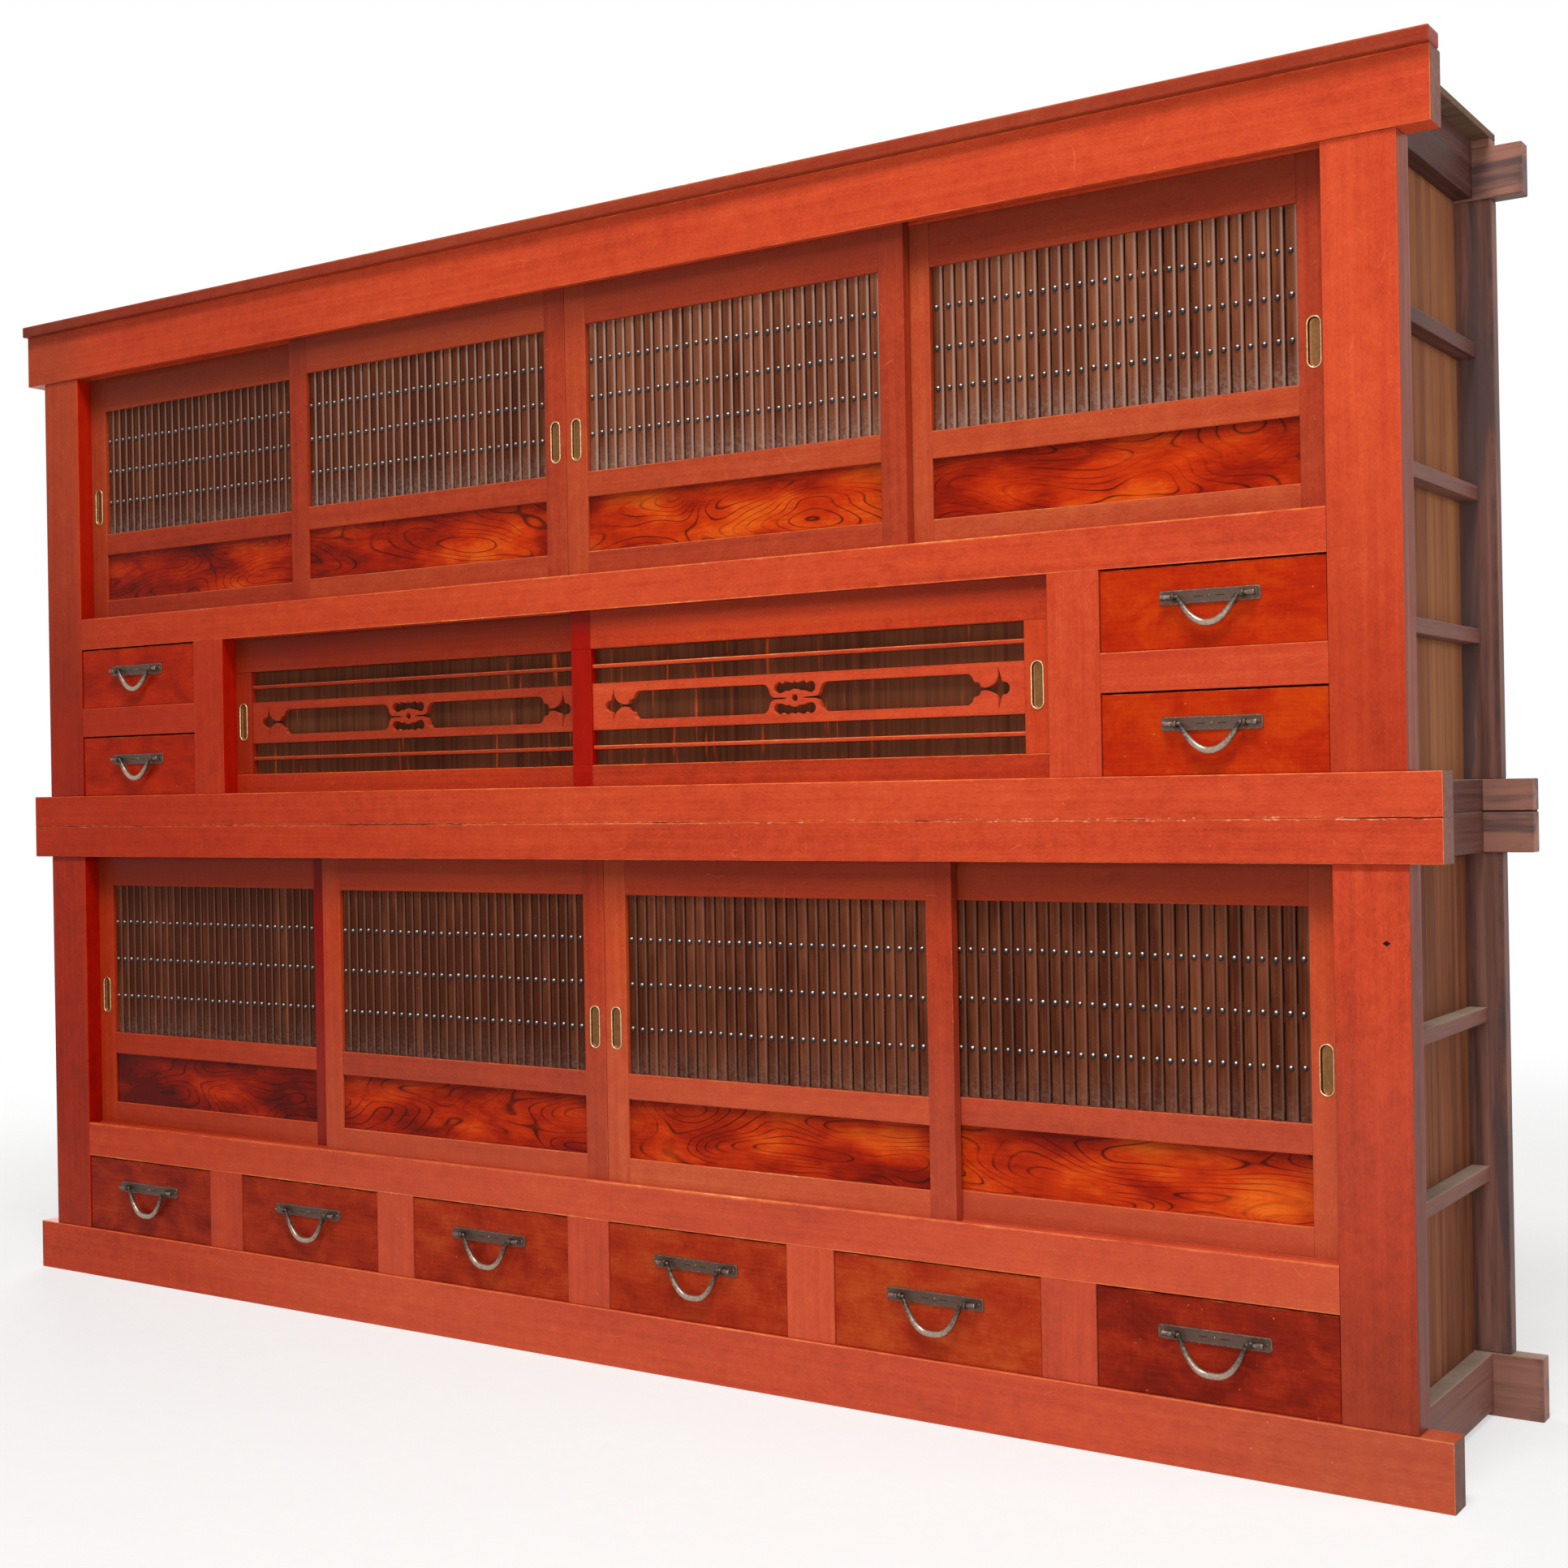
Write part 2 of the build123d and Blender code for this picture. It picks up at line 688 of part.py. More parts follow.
save("upper_floors",
     *floor_board(upper_floor, track_back, rear_post_front, []),
     *floor_board(middle_floor, track_back, rear_post_front, []),
     *[board((x - bearer_width / 2, x + bearer_width / 2), (track_back, rear_beam_front),
             (lower_top, middle_floor - board_thickness))
       for x in (-divider_centre, 0, divider_centre)])

dividers = []
for side in (-1, 1):
    drawer_bay = mirrored((divider_outer, bay_half), side)
    dividers.append(board(mirrored((divider_inner, divider_outer), side), (front, track_back),
                          (middle_floor, middle_rail_bottom)))
    dividers.append(board(mirrored((divider_outer - board_thickness, divider_outer), side),
                          (track_back, rear_post_front),
                          (middle_floor, upper_floor - board_thickness)))
    rail_z = (middle_floor + side_drawer_opening,
              middle_floor + side_drawer_opening + drawer_rail_height)
    dividers.append(board(drawer_bay, (front, track_back), rail_z))
    dividers.append(board(mirrored((divider_outer, room_half), side), (track_back, rear_post_front),
                          (rail_z[1] - board_thickness, rail_z[1])))
    for floor in (middle_floor, rail_z[1]):
        dividers.append(board(mirrored((bay_half, room_half), side), (track_back, rear_post_front),
                              (floor, floor + guide_height)))
save("upper_dividers", *dividers)

# lower unit, carcass
save("lower_top_beam", *front_beam(
    lower_beam_bottom, lower_top, (lower_beam_bottom, lower_beam_bottom + head_groove),
    sockets=[(lower_beam_bottom, lower_beam_bottom + tenon)],
))
save("lower_front_posts", *corner_posts(
    (front, post_back), base_floor, lower_beam_bottom, (beam_back, post_back),
    [(lower_rail_bottom, lower_floor)],
))
save("lower_middle_rail", front_rail(
    lower_rail_bottom, lower_floor, [(bay_half, lower_floor - floor_groove, lower_floor)],
))
save("lower_plinth", *front_beam(0, plinth_height, sockets=[(base_floor - tenon, base_floor)]))
save("lower_rear_frame",
     rear_beam(lower_beam_bottom, lower_top,
               sockets=[(lower_beam_bottom, lower_beam_bottom + tenon)],
               boards=(lower_beam_bottom, lower_beam_bottom + back_tongue)),
     rear_beam(0, plinth_height,
               sockets=[(base_floor - tenon, base_floor)],
               boards=(base_floor - back_tongue, base_floor)),
     *rear_posts(base_floor, lower_beam_bottom))
base_rail_bottom = base_floor - base_side_rail_height
save("lower_side_walls", *side_wall(base_rail_bottom, lower_top, [
    (lower_beam_bottom, lower_top, beam_back, rear_beam_front),
    (base_rail_bottom, base_floor, beam_back, rear_beam_front),
    *[(base_floor + level, base_floor + level + side_rail_height, post_back, rear_post_front)
      for level in lower_side_rail_levels],
]))
save("lower_back_boards", *back_boards(base_floor, lower_beam_bottom, lower_back_planks))

base_lefts = [-bay_half + i * base_pitch for i in range(base_drawer_count)]
base_dividers = [x + base_bay + base_divider_width / 2 for x in base_lefts[:-1]]
kicker_height = lower_floor - board_thickness - lower_rail_bottom
save("lower_floors",
     *floor_board(lower_top, track_back, rear_beam_front,
                  [(x, bearer_width, bearer_height) for x in (-divider_centre, 0, divider_centre)]),
     *floor_board(lower_floor, track_back, rear_post_front,
                  [(x, base_divider_width, kicker_height) for x in base_dividers]),
     *floor_board(base_floor, beam_back, rear_beam_front,
                  [(x, bearer_width, bearer_height) for x in base_dividers]))
guides = [board((x - base_divider_width / 2, x + base_divider_width / 2), (front, track_back),
                (base_floor, lower_rail_bottom)) for x in base_dividers]
guides += [board((x - base_divider_width / 2, x + base_divider_width / 2),
                 (track_back, rear_post_front), (base_floor, base_floor + guide_height))
           for x in base_dividers]
guides += [board(mirrored((bay_half, room_half), side), (track_back, rear_post_front),
                 (base_floor, base_floor + guide_height)) for side in (-1, 1)]
save("base_dividers", *guides)

# sliding doors: the outer two of a row run in the rear track, the middle two in front
for row, floor, opening, heights, shift, level in (
    ("upper", upper_floor, upper_door_opening,
     (upper_top_rail, upper_hip_height, upper_bottom_rail), upper_pair_shift, upper_pull_level),
    ("lower", lower_floor, lower_door_opening,
     (lower_top_rail, lower_hip_height, lower_bottom_rail), lower_pair_shift, lower_pull_level),
):
    lefts = (
        (-bay_half + jamb_play, rear_track, -1),
        (shift - meeting_play / 2 - door_width, front_track, 1),
        (shift + meeting_play / 2, front_track, -1),
        (bay_half - jamb_play - door_width, rear_track, 1),
    )
    for number, (left, face, pull_side) in enumerate(lefts, 1):
        slatted_door(f"{row}_door_{number}", left, face, floor, opening, heights, level, pull_side)

transom_width = divider_inner - jamb_play + transom_overlap / 2
transom_door("transom_door_left", -divider_inner + jamb_play, transom_width, rear_track, -1)
transom_door("transom_door_right", divider_inner - jamb_play - transom_width, transom_width,
             front_track, 1)

# drawers
side_handle = (side_handle_plate, side_handle_eyes, side_handle_drop, side_handle_rise)
base_handle = (base_handle_plate, base_handle_eyes, base_handle_drop, base_handle_rise)
upper_drawer_floor = middle_floor + side_drawer_opening + drawer_rail_height
for name, side in (("left", -1), ("right", 1)):
    bay = mirrored((divider_outer, bay_half), side)
    drawer(f"side_drawer_{name}_bottom", bay, middle_floor, side_drawer_opening, *side_handle)
    drawer(f"side_drawer_{name}_top", bay, upper_drawer_floor, side_drawer_opening, *side_handle)
for number, left in enumerate(base_lefts, 1):
    drawer(f"base_drawer_{number}", (left, left + base_bay), base_floor, base_drawer_opening,
           *base_handle)
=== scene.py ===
import math
import random
from functools import reduce

import bpy
import numpy as np
from mathutils import Matrix, Vector


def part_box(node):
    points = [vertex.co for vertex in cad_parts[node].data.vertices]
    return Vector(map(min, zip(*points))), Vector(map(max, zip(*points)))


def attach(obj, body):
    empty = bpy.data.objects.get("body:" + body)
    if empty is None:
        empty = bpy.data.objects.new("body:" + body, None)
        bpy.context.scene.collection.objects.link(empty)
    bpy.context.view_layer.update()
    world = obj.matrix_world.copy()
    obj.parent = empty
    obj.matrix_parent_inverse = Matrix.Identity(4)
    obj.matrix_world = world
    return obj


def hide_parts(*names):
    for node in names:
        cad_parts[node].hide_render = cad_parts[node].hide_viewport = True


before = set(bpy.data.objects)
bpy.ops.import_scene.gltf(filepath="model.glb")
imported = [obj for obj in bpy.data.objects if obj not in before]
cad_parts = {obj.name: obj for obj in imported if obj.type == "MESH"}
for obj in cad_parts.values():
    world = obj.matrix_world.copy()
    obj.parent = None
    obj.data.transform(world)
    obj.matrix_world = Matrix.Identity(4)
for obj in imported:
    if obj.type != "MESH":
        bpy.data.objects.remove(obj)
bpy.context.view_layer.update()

# Lengths in this file are millimetres and become metres when a piece is finished.
MM = 0.001
rng = random.Random(11)


def mm_box(node):
    """Lowest and highest corner of a CAD node, in millimetres."""
    low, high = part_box(node)
    return [v / MM for v in low], [v / MM for v in high]


def heights(node):
    """Lowest and highest level of a CAD node, in millimetres."""
    low, high = mm_box(node)
    return low[2], high[2]


def rgb(red, green, blue):
    """A colour given as it looks on screen, 0 to 255, as linear light."""
    return tuple(((v / 255 + 0.055) / 1.055) ** 2.4 if v > 10 else v / 3294.6
                 for v in (red, green, blue)) + (1.0,)


def random_shift():
    """A place in the wood from which a piece takes its grain."""
    return rng.uniform(0, 9000), rng.uniform(0, 900), rng.uniform(0, 900)


def span(side, inner, outer):
    """From an inner to an outer distance from the middle, at the left (-1) or the right (1)."""
    return sorted((side * inner, side * outer))


# =============================================================== material tools
class Shader:
    """Nodes of one procedural material, or of the world."""

    def __init__(self, name, owners=bpy.data.materials):
        self.owner = owners.new(name)
        self.owner.use_nodes = True
        self.tree = self.owner.node_tree
        self.tree.nodes.clear()

    def node(self, kind, inputs, **settings):
        node = self.tree.nodes.new("ShaderNode" + kind)
        for key, value in settings.items():
            setattr(node, key, value)
        for key, value in inputs.items():
            self.put(node.inputs[key], value)
        return node

    def put(self, socket, value):
        if isinstance(value, bpy.types.NodeSocket):
            self.tree.links.new(value, socket)
        else:
            socket.default_value = value

    def math(self, operation, a, b=0.0, clamp=False):
        return self.node("Math", {0: a, 1: b}, operation=operation, use_clamp=clamp).outputs[0]

    def plus(self, a, b):
        return self.math("ADD", a, b)

    def minus(self, a, b, clamp=False):
        return self.math("SUBTRACT", a, b, clamp)

    def times(self, a, b):
        return self.math("MULTIPLY", a, b)

    def least(self, a, b):
        return self.math("MINIMUM", a, b)

    def most(self, a, b):
        return self.math("MAXIMUM", a, b)

    def distance(self, a, b):
        return self.math("ABSOLUTE", self.minus(a, b))

    def total(self, *terms):
        """The sum of (value, weight) terms."""
        return reduce(self.plus, [self.times(value, weight) for value, weight in terms])

    def mix(self, factor, a, b, blend="MIX"):
        node = self.node("Mix", {0: factor, 6: a, 7: b}, data_type="RGBA", blend_type=blend)
        return node.outputs[2]

    def tinted(self, factor, colour, *tint):
        """The colour multiplied by a tint, as far as factor goes."""
        return self.mix(factor, colour, self.mix(1.0, colour, (*tint, 1), "MULTIPLY"))

    def noise(self, vector, scale, detail=3.0, roughness=0.55, distortion=0.0):
        return self.node("TexNoise", {"Vector": vector, "Scale": scale, "Detail": detail,
                                      "Roughness": roughness, "Distortion": distortion}).outputs[0]

    def stretch(self, vector, x, y, z):
        return self.node("VectorMath", {0: vector, 1: (x, y, z)}, operation="MULTIPLY").outputs[0]

    def fibres(self, vector, stretch, *settings):
        """Noise stretched by a factor along each axis."""
        return self.noise(self.stretch(vector, *stretch), 1.0, *settings)

    def offset(self, vector, other):
        return self.node("VectorMath", {0: vector, 1: other}, operation="ADD").outputs[0]

    def step(self, value, low, high, start=0.0, end=1.0):
        """A smooth change from start to end as value goes from low to high."""
        return self.node("MapRange", {0: value, 1: low, 2: high, 3: start, 4: end},
                         interpolation_type="SMOOTHSTEP").outputs[0]

    def ramp(self, factor, *stops):
        node = self.node("ValToRGB", {0: factor})
        elements = node.color_ramp.elements
        while len(elements) < len(stops):
            elements.new(0.5)
        for element, (place, colour) in zip(elements, stops):
            element.position = place
            element.color = colour
        return node.outputs[0]

    def attribute(self, name, output="Fac"):
        return self.node("Attribute", {}, attribute_name=name).outputs[output]

    def place(self):
        return self.node("TexCoord", {}).outputs["Object"]

    def split(self, vector):
        return self.node("SeparateXYZ", {0: vector}).outputs

    def normal(self):
        return self.split(self.node("NewGeometry", {}).outputs["Normal"])

    def seen(self):
        """1 for rays of the camera, reflections and glass, 0 for the light that the object gets."""
        ray = self.node("LightPath", {}).outputs
        return self.most(self.most(ray["Is Camera Ray"], ray["Is Glossy Ray"]), ray["Is Transmission Ray"])

    def finish(self, shader, kind="OutputMaterial"):
        self.tree.links.new(shader.outputs[0], self.node(kind, {}).inputs[0])
        return self.owner

    def surface(self, colour, roughness, bumps=(), **settings):
        """The finished shader; bumps are (height, distance in metres, strength)."""
        normal = None
        for height, distance, strength in bumps:
            inputs = {"Strength": strength, "Distance": distance, "Height": height}
            if normal:
                inputs["Normal"] = normal
            normal = self.node("Bump", inputs).outputs[0]
        shader = self.node("BsdfPrincipled", {"Base Color": colour, "Roughness": roughness})
        for key, value in settings.items():
            self.put(shader.inputs[key.replace("_", " ")], value)
        if normal:
            self.put(shader.inputs["Normal"], normal)
        return self.finish(shader)


def piece_coordinates(s):
    """Grain coordinates (metres, X along the grain), wear and painted light, and tone of a built piece."""
    return s.attribute("grain", "Vector"), s.attribute("wear"), s.attribute("tone")


def cad_coordinates(s, node, reach):
    """The same for a CAD node with timbers along X: worn where two of its faces meet."""
    x, y, z = s.split(s.place())
    grain = s.node("CombineXYZ", {0: x, 1: z, 2: y}).outputs[0]
    grain = s.offset(grain, (rng.uniform(0, 20), rng.uniform(0, 5), rng.uniform(0, 5)))
    low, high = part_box(node)

    front = s.distance(y, low.y)
    top = s.most(front, s.distance(z, high.z))
    bottom = s.times(s.most(front, s.distance(z, low.z)), 1.6)
    ends = s.most(front, s.least(s.distance(x, low.x), s.distance(x, high.x)))
    nearest = s.least(top, s.least(bottom, s.times(ends, 1.5)))
    wear = s.minus(1.0, s.math("DIVIDE", nearest, reach), clamp=True)
    return grain, wear, 0.5


# ==================================================================== materials
# heights of the door heads and how far down from them painted shade darkens the lacquer, in metres
DOOR_HEADS = ((0.799, 0.12), (1.195, 0.05), (1.715, 0.12))


def door_head_shade(s, colour, z, mottle):
    """Painted shade under the door heads: the lacquer is made darker below them."""
    z = s.plus(z, s.times(s.minus(mottle, 0.5), 0.03))
    head_shade = 0.0
    for head, reach in DOOR_HEADS:
        under = s.times(s.step(z, head - reach, head - 0.005), s.math("LESS_THAN", z, head + 0.03))
        head_shade = s.most(head_shade, under)
    return s.mix(s.times(head_shade, 0.62), colour, rgb(72, 24, 16))


def belt_seam(s, colour, place, x, z, joint):
    """The seam between the two beams of the belt, open or chipped in stretches."""
    wander = s.times(s.minus(s.noise(place, 60.0, 3), 0.5), 0.004)
    away = s.math("ABSOLUTE", s.plus(s.minus(z, joint), wander))
    open_part = s.step(s.distance(x, -0.42), 0.14, 0.07)
    opener = s.step(s.fibres(place, (9, 0, 0), 2, 0.6), 0.56, 0.62, 0.0, 0.7)
    open_part = s.most(open_part, s.most(opener, s.step(x, 1.24, 1.29)))
    seam = s.times(s.step(away, 0.0014, 0.0004), s.step(open_part, 0, 1, 0.22, 0.95))
    chips = s.step(s.fibres(place, (90, 90, 240), 3, 0.7), 0.55, 0.62)
    chips = s.times(chips, s.step(away, 0.0032, 0.0016))
    chips = s.times(chips, s.step(x, -0.3, 1.2, 0.35, 0.9))
    return s.mix(seam, s.mix(chips, colour, rgb(238, 160, 124)), rgb(52, 14, 10))


def lacquer(name, tint=None, coordinates=piece_coordinates, ends=None, heads=False, joint=None,
            reveals=False, feet=(), nail=None):
    """Worn red-orange lacquer over straight-grained wood.

    tint multiplies the colour, ends is the colour of faces at the outer ends, and reveals makes
    faces that look towards the middle deep red. heads paints shade under the door heads, and
    feet are the spans of height over which it darkens downward. joint is the height in metres
    of a seam with open and chipped stretches, and nail the X and Z of a nail hole.
    """
    s = Shader(name)
    grain, wear, tone = coordinates(s)
    cloud = s.fibres(grain, (1.3, 5, 5), 3, 0.6)
    streak = s.fibres(grain, (2.2, 95, 95), 4, 0.65)
    pore = s.fibres(grain, (30, 900, 900), 2, 0.6)
    mottle = s.noise(grain, 38.0, 4, 0.7)
    speckle = s.fibres(grain, (170, 430, 430), 2, 0.6)
    level = s.total((cloud, 0.3), (streak, 0.24), (mottle, 0.24), (speckle, 0.22),
                    (s.minus(tone, 0.5), 0.16))
    colour = s.ramp(level, (0.3, rgb(148, 46, 28)), (0.46, rgb(190, 66, 37)), (0.56, rgb(203, 78, 43)),
                    (0.72, rgb(222, 104, 60)))
    # dark stains, pale dents and hairline scratches
    stain = s.step(s.fibres(grain, (5, 9, 9), 5, 0.72), 0.62, 0.78)
    colour = s.mix(s.times(stain, 0.4), colour, rgb(112, 26, 16))
    dent = s.step(s.noise(grain, 260.0, 2, 0.5), 0.735, 0.78)
    sparse = s.step(s.noise(grain, 9.0, 2, 0.5), 0.5, 0.62)
    colour = s.mix(s.times(dent, sparse), colour, rgb(236, 146, 96))
    bent = s.offset(grain, s.node("TexNoise", {"Vector": grain, "Scale": 3.0}).outputs["Color"])
    scratch = s.step(s.fibres(bent, (7, 330, 40), 1, 0.4), 0.74, 0.78)
    colour = s.mix(s.times(scratch, 0.3), colour, rgb(226, 122, 82))
    # rubbed arrises: orange undercoat first, pale wood where they are bare
    ragged = s.total((s.noise(grain, 34.0, 4, 0.7), 0.9), (s.fibres(grain, (3, 10, 10), 2), 0.6))
    rubbed = s.plus(wear, s.minus(ragged, 0.75))
    colour = s.mix(s.step(rubbed, 0.55, 0.95), colour, rgb(228, 112, 62))
    colour = s.mix(s.step(rubbed, 0.98, 1.2), colour, rgb(250, 190, 118))
    if tint:
        colour = s.mix(1.0, colour, (*tint, 1), "MULTIPLY")
    place = s.place()
    x, _, z = s.split(place)
    # painted shade: the lacquer is darker and redder to the left and low down, where less light falls
    left_low_shade = s.times(s.step(x, 0.2, -1.3), s.step(z, 1.6, 1.0, 0.35, 1.0))
    left_low_shade = s.times(left_low_shade, s.step(z, 0.12, 0.4, 0.1, 1.0))
    colour = s.tinted(left_low_shade, colour, 0.8, 0.5, 0.38)
    # painted shade makes the upper left and the lower right corner duller, where less light falls; scuffs
    # near the floor make it paler
    corner = s.times(s.step(x, -1.15, -1.28), s.step(z, 1.0, 1.15))
    corner = s.most(corner, s.times(s.step(x, 0.8, 1.3), s.step(z, 0.35, 0.1)))
    colour = s.tinted(corner, colour, 0.78, 0.95, 1.0)
    scuffed = s.times(s.step(z, 0.7, 0.4, 0.0, 0.09), s.step(x, -1.25, -0.3))
    colour = s.mix(scuffed, colour, rgb(204, 134, 112))
    for high, low in feet:
        sunk = s.times(s.step(z, high, low), s.math("LESS_THAN", z, high))
        sunk = s.times(sunk, s.math("GREATER_THAN", z, low - 0.05))
        colour = s.tinted(sunk, colour, 0.74, 0.58, 0.54)
    # painted shade under the door heads
    if heads:
        colour = door_head_shade(s, colour, z, mottle)
    if joint:
        colour = belt_seam(s, colour, place, x, z, joint)
    if nail:
        away = s.plus(s.distance(x, nail[0]), s.times(s.distance(z, nail[1]), 1.5))
        colour = s.mix(s.step(away, 0.0062, 0.0045), colour, rgb(24, 10, 8))
    facing, backward, _ = s.normal()
    facing = s.times(facing, s.math("SIGN", x))
    # the backs were only stained
    bare = s.mix(s.step(streak, 0.35, 0.65), rgb(96, 56, 40), rgb(132, 80, 56))
    colour = s.mix(s.step(backward, 0.75, 0.95), colour, bare)
    if ends:
        dark = s.mix(1.0, ends, (0.52, 0.46, 0.44, 1), "MULTIPLY")
        blotch = s.mix(s.step(s.plus(streak, s.times(cloud, 0.6)), 0.62, 0.95), ends, dark)
        blotch = s.tinted(s.step(z, 0.95, 0.65), blotch, 0.6, 0.5, 0.48)
        colour = s.mix(s.step(facing, 0.75, 0.95, 0.0, 0.9), colour, blotch)
    if reveals:
        colour = s.tinted(s.step(facing, -0.75, -0.95), colour, 0.86, 0.2, 0.14)
    rough = s.plus(s.total((mottle, 0.22), (s.step(rubbed, 0.6, 1.0), 0.15)), 0.27)
    height = s.total((streak, 0.7), (pore, 0.3))
    return s.surface(colour, rough, [(cloud, 0.004, 0.12), (height, 0.0006, 0.22), (dent, 0.0004, -0.5)],
                     Specular_IOR_Level=0.08)


def figured_board(name):
    """Hip boards of keyaki: contour-like growth rings under amber lacquer."""
    s = Shader(name)
    grain, wear, tone = piece_coordinates(s)
    warp = s.node("TexNoise", {"Vector": s.stretch(grain, 3.2, 7, 7), "Scale": 1.0, "Detail": 1.5,
                               "Roughness": 0.4}).outputs["Color"]
    warp = s.node("VectorMath", {0: warp, 1: (0.5, 0.5, 0.5)}, operation="SUBTRACT").outputs[0]
    field = s.noise(s.offset(s.stretch(grain, 5.0, 15.0, 0.0), s.stretch(warp, 0.8, 0.8, 0)), 1.0, 0.6, 0.3)
    rings = s.math("PINGPONG", s.times(field, 34.0), 1.0)
    line = s.step(rings, 0.78, 0.97)
    strength = s.step(s.fibres(grain, (7, 18, 0), 2), 0.38, 0.58, 0.28, 1.0)
    minor = s.step(s.math("PINGPONG", s.times(field, 136.0), 1.0), 0.45, 1.0)
    fibre = s.fibres(grain, (26, 330, 10), 3, 0.6)
    glow = s.fibres(grain, (7, 15, 4), 4, 0.55)
    level = s.total((glow, 0.95), (fibre, 0.2), (s.minus(tone, 1.0), 0.24))
    colour = s.ramp(level, (0.24, rgb(92, 16, 8)), (0.42, rgb(152, 30, 8)), (0.56, rgb(194, 54, 12)),
                    (0.76, rgb(228, 104, 26)))
    colour = s.mix(s.times(minor, 0.16), colour, rgb(110, 18, 8))
    colour = s.mix(s.times(line, s.times(strength, 0.86)), colour, rgb(54, 14, 8))
    # painted shade: the board is darker along its top and its ends, where the frame shades it
    colour = s.mix(s.times(wear, 0.62), colour, rgb(64, 12, 8))
    return s.surface(colour, 0.24, [(fibre, 0.0004, 0.15)], Specular_IOR_Level=0.05)


def drawer_lacquer(name, *stops):
    """Clear dark lacquer over mottled amber wood, darkest at the rim; stops are its four colours."""
    s = Shader(name)
    grain, wear, tone = piece_coordinates(s)
    patch = s.fibres(grain, (12, 17, 10), 5, 0.68, 0.4)
    fibre = s.fibres(grain, (14, 240, 240), 4, 0.65)
    fleck = s.fibres(grain, (190, 120, 150), 3, 0.65)
    level = s.total((patch, 0.68), (fibre, 0.14), (fleck, 0.16), (s.minus(tone, 0.44), 0.3))
    colour = s.ramp(level, *zip((0.26, 0.42, 0.56, 0.74), stops))
    colour = s.mix(s.times(s.attribute("rim"), 0.4), colour, rgb(86, 18, 10))
    rubbed = s.plus(wear, s.minus(s.noise(grain, 40.0, 4, 0.7), 0.5))
    colour = s.mix(s.step(rubbed, 0.72, 1.1), colour, rgb(214, 118, 60))
    dent = s.step(s.noise(grain, 210.0, 2, 0.5), 0.74, 0.78)
    colour = s.mix(s.times(dent, 0.7), colour, rgb(226, 140, 80))
    return s.surface(colour, s.step(fibre, 0.3, 0.7, 0.2, 0.34),
                     [(patch, 0.003, 0.12), (fibre, 0.0004, 0.15)], Specular_IOR_Level=0.05)


def plain_wood(name, dark, mid, light, rough=0.62, dust=0.0, coordinates=piece_coordinates, stain=None,
               ripple=80.0, line=None, edge=None, gloss=0.1):
    """Bare or stained straight-grained wood; dust settles on faces that look up.

    line is the colour of tapering streaks along the grain, stain of broad patches, and edge of
    the arrises.
    """
    s = Shader(name)
    grain, wear, tone = coordinates(s)
    cloud = s.fibres(grain, (1.6, 7, 7), 3, 0.6)
    streak = s.fibres(grain, (1.4, ripple, ripple), 5, 0.62, 0.2)
    pore = s.fibres(grain, (24, 700, 700), 2, 0.6)
    level = s.total((streak, 0.55), (cloud, 0.3), (pore, 0.15), (s.minus(tone, 0.5), 0.2))
    colour = s.ramp(level, (0.36, dark), (0.5, mid), (0.66, light))
    if line:
        streaks = s.step(s.fibres(grain, (9, 95, 5), 1.5, 0.5), 0.62, 0.76)
        gathered = s.step(s.fibres(grain, (0.3, 7, 5), 1, 0.5), 0.5, 0.6, 0.06, 0.85)
        colour = s.mix(s.times(streaks, gathered), colour, line)
    if stain:
        patches = s.step(s.fibres(grain, (1.8, 15, 15), 4, 0.65, 0.5), 0.5, 0.62)
        colour = s.mix(s.times(patches, 0.8), colour, stain)
    rubbed = s.plus(wear, s.minus(s.noise(grain, 30.0, 4, 0.7), 0.5))
    colour = s.mix(s.step(rubbed, 0.35 if edge else 0.65, 1.1, 0.0, 0.7), colour, edge or light)
    if dust:
        settled = s.step(s.noise(grain, 9.0, 6, 0.7), 0.2, 0.75, 0.4, 1)
        film = s.times(s.step(s.normal()[2], 0.5, 0.95), settled)
        colour = s.mix(s.times(film, dust), colour, rgb(172, 160, 142))
    return s.surface(colour, s.step(streak, 0.3, 0.7, rough - 0.08, rough + 0.1),
                     [(streak, 0.0012, 0.3), (pore, 0.0004, 0.25)], Specular_IOR_Level=gloss)


def slat_wood(name):
    """Dark reeds: greyish painted highlights on the right flanks, painted shade at the feet, dust in the
    lower ends.
    """
    s = Shader(name)
    grain, wear, tone = piece_coordinates(s)
    streak = s.fibres(grain, (4, 260, 260), 4, 0.65)
    cloud = s.fibres(grain, (9, 30, 30), 3, 0.6)
    level = s.total((streak, 0.5), (cloud, 0.5), (s.minus(tone, 0.5), 0.26))
    colour = s.ramp(level, (0.26, rgb(72, 32, 17)), (0.5, rgb(112, 60, 38)), (0.72, rgb(146, 90, 58)))
    # painted highlight on the right flanks, then painted shade at the feet and on the left flanks
    colour = s.mix(s.step(wear, 0.1, 1.0, 0.0, 0.8), colour, rgb(168, 138, 124))
    colour = s.mix(s.step(wear, -0.1, -0.95, 0.0, 0.75), colour, rgb(38, 18, 11))
    fleck = s.step(s.noise(grain, 420.0, 2, 0.6), 0.66, 0.76)
    colour = s.mix(s.times(fleck, 0.35), colour, rgb(150, 124, 112))
    low = s.times(s.attribute("rim"), s.step(s.noise(grain, 150.0, 3, 0.7), 0.4, 0.65, 0.1, 1))
    colour = s.mix(s.times(low, 0.55), colour, rgb(150, 134, 126))
    return s.surface(colour, s.step(streak, 0.3, 0.7, 0.36, 0.5), [(streak, 0.0004, 0.3)],
                     Specular_IOR_Level=s.step(tone, 0.0, 0.7, 0.03, 0.12))


